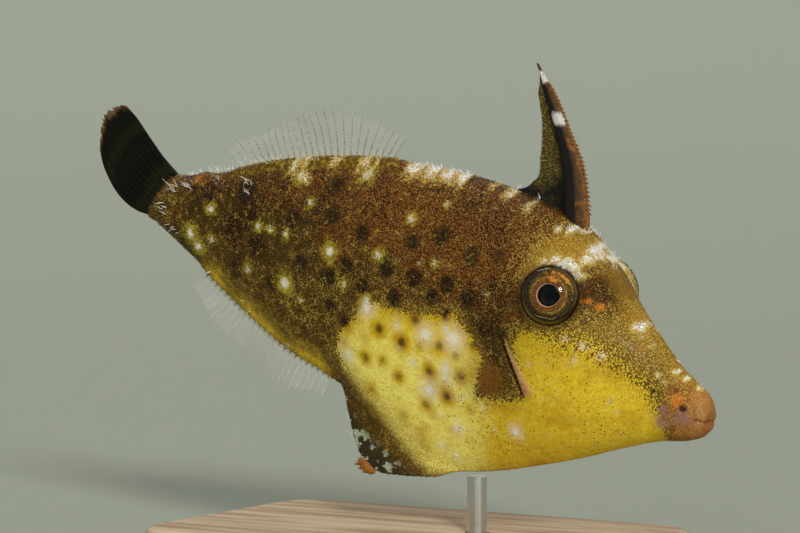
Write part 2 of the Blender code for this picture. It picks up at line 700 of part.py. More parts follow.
def head_parts():
    """The head with its eye sockets, eye rims, nostrils and gill slits, and the two lips."""
    front_of_gill = trimmed(whole_body(), *GILL_CUT, keep_front=True, shift=GAP / 2)
    head = object_from("head", trimmed(front_of_gill, *LIP_CUT, keep_front=False, shift=GAP / 2), "skin_yellow")
    boolean(head, [helper_from("rim", eye_rim(side)) for side in (-1, 1)], "UNION")
    cutters = []
    for side in (-1, 1):
        grown = (EYE_RADIUS + GAP, EYE_RADIUS + GAP, EYE_DEPTH + GAP)
        cutters.append(helper_from("socket", ellipsoid(eye_centre(side), eye_axes(side), grown, 24, 12)))
        cutters.append(helper_from("slit", gill_piece(side, GAP)))
        for s, h, radius in NOSTRILS:
            at = (s, h, side * (flank_at(s, h) + 0.05))
            axes = ((1.0, 0.0, 0.0), (0.0, 1.0, 0.0), (0.0, 0.0, 1.0))
            cutters.append(helper_from("nostril", ellipsoid(at, axes, (radius, radius, 0.6), 10, 6)))
    shares = [k / 8 * 0.35 for k in range(9)]
    rings = [spine_section(q, GAP) for q in shares]
    below = [(s, h - GAP, y) for s, h, y in rings[0]]
    cutters.append(helper_from("spine_seat", lofted([below] + rings)))
    boolean(head, cutters, "DIFFERENCE")
    for name, upper in (("lip_upper", True), ("lip_lower", False)):
        lips = trimmed(whole_body(), *LIP_CUT, keep_front=True, shift=GAP / 2)
        object_from(name, split_at_mouth(lips, upper), "lip")
    return head


def trunk_and_tail_root():
    behind_gill = trimmed(whole_body(), *GILL_CUT, keep_front=False, shift=GAP / 2)
    trunk = object_from("trunk", trimmed(behind_gill, *TAIL_CUT, keep_front=True, shift=GAP / 2), "skin_brown")
    object_from("tail_root", trimmed(whole_body(), *TAIL_CUT, keep_front=False, shift=GAP / 2), "skin_brown")
    boolean(trunk, [helper_from("slit", gill_piece(side, GAP)) for side in (-1, 1)], "DIFFERENCE")


def eyes_and_gill_flaps():
    for side, word in ((-1, "right"), (1, "left")):
        radii = (EYE_RADIUS, EYE_RADIUS, EYE_DEPTH)
        object_from("eye_" + word, ellipsoid(eye_centre(side), eye_axes(side), radii, 24, 12), "eye")
        object_from("gill_flap_" + word, gill_piece(side, 0.0), "gill")


def keel_height():
    """The world position, in millimetres, of the belly's keel over the stand's rod."""
    s, h = on_line(BELLY_LINE, share_at(BELLY_LINE, ROD_S))
    spot = level.matrix_world @ here(s, h)
    return spot.x / MM, spot.z / MM


def stand():
    """A flat base with rounded corners, and one short steel rod up to the belly, in a blind hole in the base."""
    rod_x, keel_z = keel_height()
    corner = BASE_CORNER * MM
    outline = bpy.data.curves.new("base_outline", "CURVE")
    outline.dimensions = "2D"
    outline.fill_mode = "BOTH"
    outline.extrude = BASE_THICK / 2 * MM
    spline = outline.splines.new("POLY")
    points = []
    for quarter in range(4):
        sign_x, sign_y = ((1, 1), (-1, 1), (-1, -1), (1, -1))[quarter]
        cx, cy = sign_x * (BASE_LENGTH / 2 * MM - corner), sign_y * (BASE_DEPTH / 2 * MM - corner)
        for k in range(7):
            a = math.pi / 2 * (quarter + k / 6)
            points.append((cx + corner * math.cos(a), cy + corner * math.sin(a)))
    spline.points.add(len(points) - 1)
    for point, (x, y) in zip(spline.points, points):
        point.co = (x, y, 0, 1)
    spline.use_cyclic_u = True
    flat = bpy.data.objects.new("base_flat", outline)
    FISH.objects.link(flat)
    bpy.context.view_layer.update()
    graph = bpy.context.evaluated_depsgraph_get()
    made = bmesh.new()
    made.from_mesh(bpy.data.meshes.new_from_object(flat.evaluated_get(graph)))
    bpy.data.objects.remove(flat)
    bmesh.ops.remove_doubles(made, verts=made.verts, dist=1e-6)
    bmesh.ops.dissolve_limit(made, angle_limit=0.001, verts=made.verts, edges=made.edges)
    top = [e for e in made.edges if all(v.co.z > 0 for v in e.verts) and e.calc_face_angle(0) > 1]
    bmesh.ops.bevel(made, geom=top, offset=BASE_BEVEL * MM, segments=2, profile=0.5, affect="EDGES")
    bmesh.ops.translate(made, verts=made.verts, vec=(0, 0, BASE_THICK / 2 * MM))
    base = object_from("stand_base", made, "wood", parent=None)

    hole = bmesh.new()
    bmesh.ops.create_cone(
        hole, cap_ends=True, segments=24, radius1=(ROD_RADIUS + GAP) * MM, radius2=(ROD_RADIUS + GAP) * MM,
        depth=2 * (SOCKET_DEPTH + GAP) * MM, matrix=Matrix.Translation((rod_x * MM, 0, BASE_THICK * MM)),
    )
    socket = helper_from("rod_hole", hole)
    socket.parent = None
    boolean(base, [socket], "DIFFERENCE")
    low, high = BASE_THICK - SOCKET_DEPTH, keel_z - GAP - 0.15
    rod = bmesh.new()
    bmesh.ops.create_cone(
        rod, cap_ends=True, segments=20, radius1=ROD_RADIUS * MM, radius2=ROD_RADIUS * MM, depth=(high - low) * MM,
        matrix=Matrix.Translation((rod_x * MM, 0, (low + high) / 2 * MM)),
    )
    object_from("stand_rod", rod, "steel", parent=None)


head_parts()
trunk_and_tail_root()
eyes_and_gill_flaps()
dorsal_spine()
spine_web()
ray_fin("dorsal_fin", DORSAL_FIN)
ray_fin("anal_fin", ANAL_FIN)
tail_fin()
for fin_side in (-1, 1):
    pectoral_fin(fin_side)
pelvic_flap()
pelvic_scute()
stand()
for mesh in bpy.data.meshes:
    mesh.set_sharp_from_angle(angle=math.radians(40))
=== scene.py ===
"""The looks of a life-size still model of an aiptasia-eating filefish, held over a plain display stand.

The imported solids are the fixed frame. Skin, eyes, spine, fins and bristles are made here, in the fish's own
level frame, in millimetres: s runs back from the tip of the snout, h up from the body axis, y out to the left.
"""

import json
import math

import bpy
import numpy as np
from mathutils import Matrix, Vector

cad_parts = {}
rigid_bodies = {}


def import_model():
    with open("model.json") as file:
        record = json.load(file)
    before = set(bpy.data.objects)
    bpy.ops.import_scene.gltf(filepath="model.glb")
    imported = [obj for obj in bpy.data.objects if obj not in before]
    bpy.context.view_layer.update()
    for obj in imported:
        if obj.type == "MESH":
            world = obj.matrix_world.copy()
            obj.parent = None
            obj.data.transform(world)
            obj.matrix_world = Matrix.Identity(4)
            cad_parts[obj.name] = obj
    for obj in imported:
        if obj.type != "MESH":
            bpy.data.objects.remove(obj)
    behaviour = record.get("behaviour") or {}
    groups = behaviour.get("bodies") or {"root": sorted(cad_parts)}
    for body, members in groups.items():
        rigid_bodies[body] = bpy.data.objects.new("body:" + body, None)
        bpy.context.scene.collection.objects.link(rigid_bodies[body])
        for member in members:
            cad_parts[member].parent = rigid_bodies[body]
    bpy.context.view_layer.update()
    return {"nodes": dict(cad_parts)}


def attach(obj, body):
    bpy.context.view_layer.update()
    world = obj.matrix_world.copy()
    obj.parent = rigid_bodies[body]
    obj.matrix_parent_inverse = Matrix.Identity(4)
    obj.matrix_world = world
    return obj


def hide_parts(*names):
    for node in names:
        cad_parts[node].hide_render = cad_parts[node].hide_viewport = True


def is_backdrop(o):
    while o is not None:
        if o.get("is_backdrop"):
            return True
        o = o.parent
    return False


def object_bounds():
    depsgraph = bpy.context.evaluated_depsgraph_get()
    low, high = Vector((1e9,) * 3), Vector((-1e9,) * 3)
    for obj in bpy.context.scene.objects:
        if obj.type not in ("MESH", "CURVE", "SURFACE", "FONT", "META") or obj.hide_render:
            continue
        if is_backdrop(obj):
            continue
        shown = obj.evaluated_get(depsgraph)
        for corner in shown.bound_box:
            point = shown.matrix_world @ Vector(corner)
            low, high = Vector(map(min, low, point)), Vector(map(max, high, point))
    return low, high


for old in list(bpy.data.objects):
    bpy.data.objects.remove(old)
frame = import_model()

# The studio is a pale, shallow bowl under two broad soft lights, a low soft fill and an even sky. The
# camera looks at the fish's right side from a little ahead of it and a little above, as the photographer
# did.
MM = 0.001
CAMERA_TURN = 32  # degrees
CAMERA_RISE = 3
CAMERA_AWAY = 360 * MM
CAMERA_AIM = Vector((-2.0, 0.0, 31.06)) * MM
LENS_MM = 159.25
BOWL = [(0.0, 0.0), (0.45, 0.0), (0.75, 0.03), (1.05, 0.12), (1.3, 0.27), (1.42, 0.45)]  # metres
BOWL_RINGS = 40
BOWL_TURNS = 96
BOWL_SMOOTHINGS = 6
BOWL_TONE = (0.345, 0.37, 0.29, 1)
SKY = (0.97, 1.0, 0.98, 1)
SKY_STRENGTH = 0.33
LAMPS = {  # degrees of turn from the camera, of rise and of its disc in the sky, and strength
    "key": (13, 26, 11, 2.2),
    "rear": (190, 50, 35, 0.6),
}
FILL = (-22, 7, 0.5, 0.3, 0.42)  # degrees of turn from the camera and of rise, metres away and across, watts


def aimed(name, data, turn, rise, away=1.0):
    """A new object at this turn and rise, in degrees, and so many metres from the fish, that looks at it."""
    turn, rise = math.radians(turn), math.radians(rise)
    way = Vector((math.sin(turn) * math.cos(rise), -math.cos(turn) * math.cos(rise), math.sin(rise)))
    made = bpy.data.objects.new(name, data)
    bpy.context.scene.collection.objects.link(made)
    made.location = CAMERA_AIM + way * away
    made.rotation_euler = (CAMERA_AIM - made.location).to_track_quat("-Z", "Y").to_euler()
    return made


camera = aimed("camera", bpy.data.cameras.new("camera"), CAMERA_TURN, CAMERA_RISE, CAMERA_AWAY)
camera.data.lens = LENS_MM
camera.data.clip_start, camera.data.clip_end = 10 * MM, 20.0
bpy.context.scene.camera = camera
bpy.context.scene.view_settings.view_transform = "Standard"

for name, (turn, rise, disc, strength) in LAMPS.items():
    lamp = bpy.data.lights.new(name, "SUN")
    lamp.angle = math.radians(disc)
    lamp.energy = strength
    aimed(name, lamp, CAMERA_TURN + turn, rise)

turn, rise, away, across, watts = FILL
fill = bpy.data.lights.new("fill", "AREA")
fill.size, fill.energy = across, watts
aimed("fill", fill, CAMERA_TURN + turn, rise, away).visible_glossy = False

world = bpy.data.worlds.new("pale_room")
world.use_nodes = True
world.node_tree.nodes["Background"].inputs["Color"].default_value = SKY
world.node_tree.nodes["Background"].inputs["Strength"].default_value = SKY_STRENGTH
bpy.context.scene.world = world


def new_material(name):
    """A node material and its Principled shader."""
    made = bpy.data.materials.new(name)
    made.use_nodes = True
    return made, made.node_tree.nodes["Principled BSDF"]


def ring_faces(rings, sides, first=None, last=None):
    """The faces between rings of points, and fans of faces from the end rings to a first and a last point."""
    steps = [(j, (j + 1) % sides) for j in range(sides)]
    end = (rings - 1) * sides
    faces = [(i + j, i + k, i + sides + k, i + sides + j) for i in range(0, end, sides) for j, k in steps]
    if first is not None:
        faces += [(first, k, j) for j, k in steps]
    if last is not None:
        faces += [(end + j, end + k, last) for j, k in steps]
    return faces


def turned_over(faces):
    """The same faces, to be seen from their other side."""
    return [(face[0], *face[:0:-1]) for face in faces]


floor_finish, shader = new_material("pale_floor")
shader.inputs["Base Color"].default_value = BOWL_TONE
shader.inputs["Roughness"].default_value = 0.8
bowl_radii, bowl_heights = np.array(BOWL).T
ring_radii = np.linspace(0, bowl_radii[-1], BOWL_RINGS + 1)[1:]
ring_heights = np.interp(ring_radii, bowl_radii, bowl_heights)
for _ in range(BOWL_SMOOTHINGS):
    ring_heights[1:-1] = (ring_heights[:-2] + ring_heights[1:-1] + ring_heights[2:]) / 3
turns = 2 * math.pi * np.arange(BOWL_TURNS) / BOWL_TURNS
bowl = np.stack(np.broadcast_arrays(
    ring_radii[:, None] * np.cos(turns), ring_radii[:, None] * np.sin(turns), ring_heights[:, None]
), -1).reshape(-1, 3)
floor_mesh = bpy.data.meshes.new("floor")
floor_faces = turned_over(ring_faces(BOWL_RINGS, BOWL_TURNS, len(bowl)))
floor_mesh.from_pydata([*bowl.tolist(), (0, 0, 0)], [], floor_faces)
floor_mesh.shade_smooth()
floor_mesh.materials.append(floor_finish)
floor = bpy.data.objects.new("floor", floor_mesh)
bpy.context.scene.collection.objects.link(floor)
floor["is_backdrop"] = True

# The skin is one unbroken velvety hide over the head, lips, trunk, tail root, gill folds and the flap under
# the belly. It is lofted between the lines of the back and the belly, closed along both, and then shaped:
# lids round the eyes, the mouth and lips, nostrils, gill slits and the fleshy feet of the two long fins.
SNOUT_X = 33.8
SNOUT_Z = 17.8
NOSE_DOWN = math.radians(17.8)
BACK_LINE = [
    (0.35, -0.85), (0.4, 0.4), (0.95, 1.35), (2.0, 1.95), (4.45, 2.95), (7.65, 4.95), (13.1, 8.65),
    (16.35, 10.85),
    (18.7, 12.3), (21.9, 13.15), (28.1, 13.55), (36.7, 12.85), (45.0, 11.0), (55.3, 7.2), (62.15, 3.65),
    (66.15, 2.0),
]
BELLY_LINE = [
    (0.35, -0.85), (0.05, -1.55), (0.4, -2.5), (1.5, -3.3), (4.5, -4.55), (7.75, -6.4), (12.6, -9.5),
    (16.6, -11.75),
    (21.05, -14.05), (25.65, -15.8), (30.65, -16.5), (36.25, -15.15), (41.45, -12.1), (48.75, -10.75),
    (55.65, -8.5),
    (62.8, -5.8), (68.3, -3.85),
]
HALF_WIDTHS = [  # half the body's width, by the share of the way from mouth to tail
    (0.0, 0.0), (0.008, 0.7), (0.025, 1.3), (0.06, 1.95), (0.11, 2.6), (0.18, 4.0), (0.25, 5.5), (0.33, 6.1),
    (0.42, 5.9), (0.55, 5.0), (0.70, 3.8), (0.85, 2.6), (0.94, 2.1), (1.0, 1.9),
]
WIDEST_AT = [(0.0, 0.5), (0.10, 0.52), (0.30, 0.60), (0.50, 0.60), (0.75, 0.55), (1.0, 0.5)]
UPPER_THINNING = [(0.0, 0.5), (0.10, 0.6), (0.20, 0.58), (0.27, 0.46), (0.40, 0.55), (0.60, 0.7), (1.0, 0.6)]
LOWER_THINNING = [(0.0, 0.5), (0.10, 0.6), (0.30, 0.85), (0.45, 1.1), (0.60, 0.8), (1.0, 0.6)]
KEEL_HALF = 0.5
EYE_AT = np.array([17.3, 6.3, 6.5])
EYE_FORWARD = math.radians(14)
EYE_UP = math.radians(12)
EYE_SWELL = 1.6
EYE_SWELL_REACH = 3.8
LID_RADIUS = 2.98
LID_HEIGHT = 0.42
CUP_DEPTH = 2.2
NO_EYE = 99.0  # the distance that is given where the body isn't beside an eye
FLAP_ROOT = (24.7, 41.2)
FLAP_EDGE = [
    (25.0, -16.3), (28.0, -17.4), (31.6, -18.6), (34.5, -19.2), (36.6, -18.4), (38.2, -16.6), (39.4, -14.8),
    (40.6, -13.6),
]
FLAP_HALF = (0.42, 0.14)  # half its thickness at its root and at its edge
STATIONS = 388
HEAD_STATIONS = 222  # the share of the stations that lie before HEAD_SHARE, where the detail is
HEAD_SHARE = 0.34
HALF_RING = 124
TAIL_RINGS = 10
PROFILE_STEPS = 220
FLAP_STEPS = 60


def to_row_frame(points):
    """Points (s, h, y) in millimetres, as places in the row frame, in metres."""
    s, h, y = np.moveaxis(np.asarray(points, float), -1, 0)
    x = SNOUT_X - s * math.cos(NOSE_DOWN) + h * math.sin(NOSE_DOWN)
    z = SNOUT_Z + s * math.sin(NOSE_DOWN) + h * math.cos(NOSE_DOWN)
    return np.stack([x, y, z], -1) * MM


def unit(vectors):
    """Vectors brought to a length of one."""
    return vectors / np.maximum(np.linalg.norm(vectors, axis=-1, keepdims=True), 1e-9)


def with_third(pairs, third):
    """Places (s, h) and their third value in one array."""
    return np.concatenate([pairs, third[..., None]], -1)


def run_of(line):
    """The length of a line of points from its start to each of them."""
    return np.concatenate([[0], np.cumsum(np.linalg.norm(np.diff(line, axis=0), axis=1))])


def hermite(places, values, at):
    """A smooth curve through values at rising places, read at many places."""
    places, values, at = (np.asarray(x, float) for x in (places, values, at))
    slopes = np.gradient(values, places, axis=0)
    k = np.clip(np.searchsorted(places, at, side="right") - 1, 0, len(places) - 2)
    width = places[k + 1] - places[k]
    t = (at - places[k]) / width
    if values.ndim > 1:
        t, width = t[..., None], width[..., None]
    return (
        (2 * t**3 - 3 * t**2 + 1) * values[k] + (t**3 - 2 * t**2 + t) * width * slopes[k]
        + (3 * t**2 - 2 * t**3) * values[k + 1] + (t**3 - t**2) * width * slopes[k + 1]
    )


def on_line(points, share):
    """The points (s, h) at shares of the length of a smooth line through the given points."""
    run = run_of(points)
    return hermite(run / run[-1], points, share)


def share_at(points, s):
    """The shares of the length of a line at which it passes s."""
    tries = np.linspace(0.1, 1, 1800)
    return np.interp(s, on_line(points, tries)[:, 0], tries)


def at_share(pairs, share):
    """A size that changes along the body, read at shares of the way from mouth to tail, as a column."""
    places, values = np.array(pairs).T
    return hermite(places, values, share)[:, None]


def smooth_step(value, low, high):
    t = np.clip((value - low) / (high - low), 0, 1)
    return t * t * (3 - 2 * t)


def stretch(value, start, full, waning, end):
    """1 between full and waning, and falling off softly to 0 at start and end."""
    return smooth_step(value, start, full) * smooth_step(value, end, waning)


def bell(distance, reach):
    return np.exp(-((distance / reach) ** 2))


def half_profiles(shares):
    """The body's left half at each share: a line of points from the back down to the keel or flap."""
    top, low = on_line(BACK_LINE, shares)[:, None], on_line(BELLY_LINE, shares)[:, None]
    turn = np.linspace(0, math.pi, PROFILE_STEPS)
    rise, out = np.cos(turn), np.clip(np.sin(turn), 0, 1)
    middle = low + (top - low) * at_share(WIDEST_AT, shares)[:, None]
    end = np.where(rise[:, None] >= 0, top, low)
    thinning = np.where(rise >= 0, at_share(UPPER_THINNING, shares), at_share(LOWER_THINNING, shares))
    half = at_share(HALF_WIDTHS, shares)
    place = middle + (end - middle) * np.abs(rise)[:, None]
    swelling = EYE_SWELL * np.exp(-0.5 * np.sum(((place - EYE_AT[:2]) / EYE_SWELL_REACH) ** 2, axis=-1))
    flank = np.hypot(half * out ** (2 * thinning), np.minimum(KEEL_HALF, half) * out) + swelling * out

    first, last = share_at(BELLY_LINE, FLAP_ROOT)
    along = (shares - first) / (last - first)
    ramp = stretch(along, 0, 0.16, 0.9, 1)[:, None]
    depth = (on_line(FLAP_EDGE, np.clip(along, 0, 1))[:, None] - low) * ramp[:, None]
    fold = FLAP_HALF[0] * np.sqrt(ramp) * smooth_step(-rise, 0.55, 1.0)
    flank = (flank**3 + fold**3) ** (1 / 3)
    down = np.linspace(0, 1, FLAP_STEPS)[1:]
    thin = (FLAP_HALF[0] + (FLAP_HALF[1] - FLAP_HALF[0]) * down) * np.sqrt(1 - down**12)
    skirt = with_third(low + depth * down[:, None], np.sqrt(ramp) * thin)
    return np.concatenate([with_third(place, flank), skirt], 1)


def evenly(profiles, count):
    """Each profile read again at count + 1 points at even steps of its length."""
    spread = np.linspace(0, 1, count + 1)
    rows = []
    for profile in profiles:
        run = run_of(profile)
        rows.append(np.stack([np.interp(spread * run[-1], run, column) for column in profile.T], -1))
    return np.array(rows)


def grid_normals(grid):
    """The outward normals of rings of points that close round the body."""
    around = np.roll(grid, -1, axis=1) - np.roll(grid, 1, axis=1)
    return unit(np.cross(around, np.gradient(grid, axis=0)))


head_shares = HEAD_SHARE * (np.arange(1, HEAD_STATIONS + 1) / HEAD_STATIONS) ** 1.25
rest = np.arange(1, STATIONS - HEAD_STATIONS + 1) / (STATIONS - HEAD_STATIONS)
left = evenly(half_profiles(np.concatenate([head_shares, HEAD_SHARE + (1 - HEAD_SHARE) * rest])), HALF_RING)
last_ring = left[-1]
tail_middle = np.array([*(last_ring[0, :2] + last_ring[-1, :2]) / 2, 0])
closing = []
for t in np.arange(1, TAIL_RINGS + 1) / TAIL_RINGS:
    ring = tail_middle + (last_ring - tail_middle) * (1 - 0.12 * t**2) + np.array([1.5, -0.05, 0]) * t
    ring[:, 2] *= math.sqrt(1 - 0.86 * t**2)
    closing.append(ring)
left = np.concatenate([left, closing])
skin = np.concatenate([left, left[:, -2:0:-1] * (1, 1, -1)], axis=1)


def eye_axes(side):
    """The eye's across, up and outward directions, for side -1 (right) or 1 (left)."""
    outward = side * math.cos(EYE_FORWARD) * math.cos(EYE_UP)
    out = unit(np.array([-math.sin(EYE_FORWARD), math.sin(EYE_UP), outward]))
    up = unit(np.array([0.0, 1.0, 0.0]) - out[1] * out)
    return np.stack([np.cross(up, out), up, out])


def shape_lids(grid):
    """Sinks a cup for each eye in a ridge of skin. Gives each point's distance from its eye's axis too."""
    nearest = np.full(grid.shape[:2], NO_EYE)
    for side in (-1, 1):
        axes = eye_axes(side)
        placed = (grid - EYE_AT * (1, 1, side)) @ axes.T
        reach = np.hypot(placed[..., 0], placed[..., 1])
        reach = np.where(placed[..., 2] > -4.5, reach, NO_EYE)
        beyond = reach - LID_RADIUS
        ridge = bell(beyond, 0.32) * (beyond >= 0) + (beyond < 0)
        placed[..., 2] += (LID_HEIGHT - placed[..., 2]) * ridge
        placed[..., 2] -= CUP_DEPTH * smooth_step(-beyond, 0.05, 0.75)
        placed[..., 2] += 0.09 * np.cos(beyond * 8.0) * bell(beyond - 0.6, 0.5) * (beyond > 0)
        grid = np.where((reach < 6.0)[..., None], placed @ axes + EYE_AT * (1, 1, side), grid)
        nearest = np.minimum(nearest, reach)
    return grid, nearest


skin, eye_reach = shape_lids(skin)
skin_normal = grid_normals(skin)

GILL_TOP = np.array([21.0, 0.6])
GILL_LOW = np.array([17.5, -3.9])
MOUTH_CORNER = 0.95
MOUTH_H = -0.9
NOSTRILS = [(13.1, 6.5, 0.26), (14.1, 6.8, 0.2)]
DORSAL_ROOT = (41.0, 60.4)
ANAL_ROOT = (41.6, 61.0)
DORSAL_FEET = 26
ANAL_FEET = 25
BUMP_AT = (63.6, 2.4)

s, h, y = np.moveaxis(skin, -1, 0)
gill_length = np.linalg.norm(GILL_TOP - GILL_LOW)
gill_way = (GILL_TOP - GILL_LOW) / gill_length
gill_along = ((s - GILL_LOW[0]) * gill_way[0] + (h - GILL_LOW[1]) * gill_way[1]) / gill_length
gill_across = (s - GILL_LOW[0]) * gill_way[1] - (h - GILL_LOW[1]) * gill_way[0]
gill_window = stretch(gill_along, -0.12, 0.06, 0.9, 1.05)
fold_half = 0.56 - 0.44 * np.clip(gill_along, 0, 1)
gill_fold = gill_window * bell(gill_across, fold_half)
gill_slit = gill_window * bell(gill_across - fold_half - 0.22, 0.17)
relief = 0.2 * gill_fold - 0.65 * gill_slit


def mark(at_s, at_h, reach):
    """A soft round mark on the skin, as the share of it that each point has."""
    return bell(np.hypot(s - at_s, h - at_h), reach)


mouth_reach = smooth_step(s, MOUTH_CORNER + 0.25, MOUTH_CORNER - 0.35)
mouth_line = mouth_reach * bell(h - MOUTH_H + 0.05 * np.sin(3 * s), 0.14)
lips = mouth_reach * (bell(h - MOUTH_H - 0.62, 0.42) + bell(h - MOUTH_H + 0.68, 0.42))
relief += 0.05 * lips - 0.13 * mouth_line
for nostril_s, nostril_h, radius in NOSTRILS:
    relief -= 0.3 * mark(nostril_s, nostril_h, radius * 0.7)

back_depth = np.concatenate([np.arange(HALF_RING + 1), np.arange(HALF_RING - 1, 0, -1)]) / HALF_RING
girth = np.linalg.norm(np.diff(left, axis=1), axis=2).sum(axis=1)[:, None]
from_back, from_keel = back_depth * girth, (1 - back_depth) * girth
fin_feet = np.zeros(skin.shape[:2])
for (start, end), depth, count in ((DORSAL_ROOT, from_back, DORSAL_FEET), (ANAL_ROOT, from_keel, ANAL_FEET)):
    window = stretch(s, start - 0.8, start + 0.8, end - 0.8, end + 0.8)
    ribs = 1 + 0.35 * np.cos(2 * math.pi * (s - start) / (end - start) * count)
    relief += 0.22 * window * smooth_step(depth, 1.5, 0.5) * ribs
    fin_feet = np.maximum(fin_feet, window * smooth_step(depth, 2.1, 1.1))

relief += 0.45 * mark(*BUMP_AT, 0.8)
flap_depth = np.clip(on_line(BELLY_LINE, share_at(BELLY_LINE, np.clip(s, 5, 66)))[..., 1] - h, 0, 5)
relief += 0.035 * np.sin(9.0 * s + 2.0 * h) * smooth_step(flap_depth, 0.2, 1.0)
skin = skin + skin_normal * relief[..., None]

# The colours follow the living fish: a yellow belly and cheek with soft dark spots and pale ones, stippled
# brown above, a dark band from the eye to the pectoral fin and an orange snout. Each marking is a smooth
# field on the skin, worked out from where it lies, and the nodes of the finish break its edge into stipple.
YELLOW_AREA = [
    (41.6, -8.4), (41.3, -6.1), (39.7, -4.0), (38.8, -2.0), (37.2, -1.3), (34.6, -1.2), (31.5, -0.5),
    (29.2, 0.3),
    (27.6, 1.2), (25.0, -0.3), (23.5, -1.4), (22.8, -2.7), (23.1, -6.1), (20.5, -5.7), (18.2, -4.6),
    (19.0, -2.0),
    (20.2, 0.4), (19.6, 1.9), (18.1, 2.9), (15.2, 3.5), (13.0, 4.2), (10.6, 3.4), (7.7, 2.1), (5.0, 0.8),
    (4.1, -0.9), (3.4, -2.2), (3.0, -6.0), (12.0, -11.5), (17.5, -14.5), (23.6, -16.5), (28.2, -16.9),
    (31.9, -15.5),
    (35.4, -12.8), (38.0, -11.4), (40.6, -10.0),
]
DARK_SPOTS = [  # (s, h, radius, strength)
    (36.0, -4.0, 0.42, 1.0), (32.9, -4.3, 0.45, 1.0), (28.3, -3.0, 0.4, 0.7), (37.2, -7.6, 0.38, 0.75),
    (35.0, -7.1, 0.38, 0.55), (29.0, -6.0, 0.42, 0.8), (32.7, -8.0, 0.4, 0.65), (36.1, -10.7, 0.42, 0.5),
    (26.6, -7.8, 0.42, 0.95), (29.1, -9.7, 0.42, 0.6), (31.6, -11.9, 0.5, 0.35), (31.8, -1.4, 0.5, 0.8),
    (28.3, 0.3, 0.5, 0.9), (25.2, -5.1, 0.45, 0.75), (23.8, -8.2, 0.5, 0.4), (23.7, -11.5, 0.6, 0.25),
    (30.7, -4.0, 0.33, 0.4), (26.2, -3.2, 0.35, 0.55), (24.3, -1.5, 0.4, 0.7), (21.1, 0.7, 0.45, 0.6),
    (29.0, -13.0, 0.6, 0.3), (40.5, -4.9, 0.6, 0.7), (42.7, -3.9, 0.6, 0.7), (50.1, 2.9, 0.75, 0.7),
    (45.3, 4.8, 0.8, 0.7), (40.9, 4.5, 0.7, 0.7), (34.8, 5.7, 0.75, 0.6), (31.9, 7.3, 0.8, 0.6),
    (47.5, -1.1, 0.75, 0.8), (43.7, -1.1, 0.7, 0.9), (41.8, 0.7, 0.65, 0.8), (36.8, 2.2, 0.7, 0.8),
    (39.1, -0.6, 0.6, 0.9), (35.0, -0.3, 0.62, 1.0), (33.2, 2.5, 0.7, 0.9), (29.2, 3.2, 0.62, 0.9),
    (27.6, 6.7, 0.8, 0.5), (26.2, 2.7, 0.8, 0.7), (53.6, -1.3, 0.9, 0.8), (30.4, 1.5, 0.6, 0.8),
    (46.5, 7.6, 0.9, 0.5), (57.0, 3.2, 1.0, 0.7), (24.6, 7.8, 0.7, 0.4), (55.8, -4.6, 0.8, 0.6),
    (50.6, -4.4, 0.7, 0.6), (2.5, -0.2, 0.3, 0.75), (5.9, 0.4, 0.22, 0.8), (3.8, 1.1, 0.22, 0.9),
]
PALE_SPOTS = [  # (s, h, radius, strength)
    (38.1, -2.4, 0.6, 1.0), (38.2, -1.7, 0.4, 0.8), (30.2, -2.5, 0.65, 0.95), (39.6, -8.3, 0.55, 0.9),
    (31.1, -5.8, 0.4, 0.7), (28.8, -7.9, 0.65, 1.0), (27.2, -5.0, 0.5, 0.85), (27.0, -5.9, 0.5, 0.8),
    (26.8, -1.7, 0.75, 1.0), (27.8, -1.1, 0.5, 0.8), (25.1, -10.8, 0.5, 0.8), (33.9, -2.9, 0.45, 0.6),
    (18.5, -8.6, 0.45, 1.0), (27.1, -13.4, 0.4, 0.6), (25.4, -14.1, 0.4, 0.7), (33.2, -5.0, 0.35, 0.5),
    (22.2, -7.3, 0.35, 0.5), (20.8, -9.2, 0.35, 0.45), (27.2, -10.1, 0.35, 0.5), (29.2, -4.6, 0.35, 0.5),
    (44.2, 1.4, 0.5, 1.0), (49.0, -3.8, 0.6, 1.0), (38.2, 3.1, 0.4, 0.9), (31.5, 4.6, 0.3, 0.7),
    (41.5, -1.1, 0.35, 0.6), (36.0, 7.6, 0.4, 0.8), (33.1, 3.9, 0.3, 0.5), (51.3, 7.0, 0.5, 0.9),
    (43.7, 9.8, 0.6, 0.8), (54.1, 0.6, 0.35, 0.9), (52.4, 0.9, 0.3, 0.7), (50.3, 1.1, 0.35, 0.7),
    (60.6, 0.2, 0.4, 0.9), (48.7, 5.1, 0.35, 0.8), (24.3, 3.9, 0.3, 0.5), (54.2, -4.2, 0.4, 0.8),
    (46.6, -4.8, 0.35, 0.6), (62.6, -3.2, 0.55, 1.0), (61.4, -4.2, 0.5, 1.0), (59.6, -2.8, 0.4, 0.7),
    (13.4, 1.0, 0.3, 0.5), (11.2, 2.2, 0.35, 0.6), (16.0, -0.4, 0.3, 0.35), (8.6, -2.7, 0.3, 0.35),
    (13.0, 2.6, 0.35, 0.55), (14.6, 2.9, 0.35, 0.5), (17.8, -1.1, 0.3, 0.4), (9.3, -2.0, 0.3, 0.4),
]
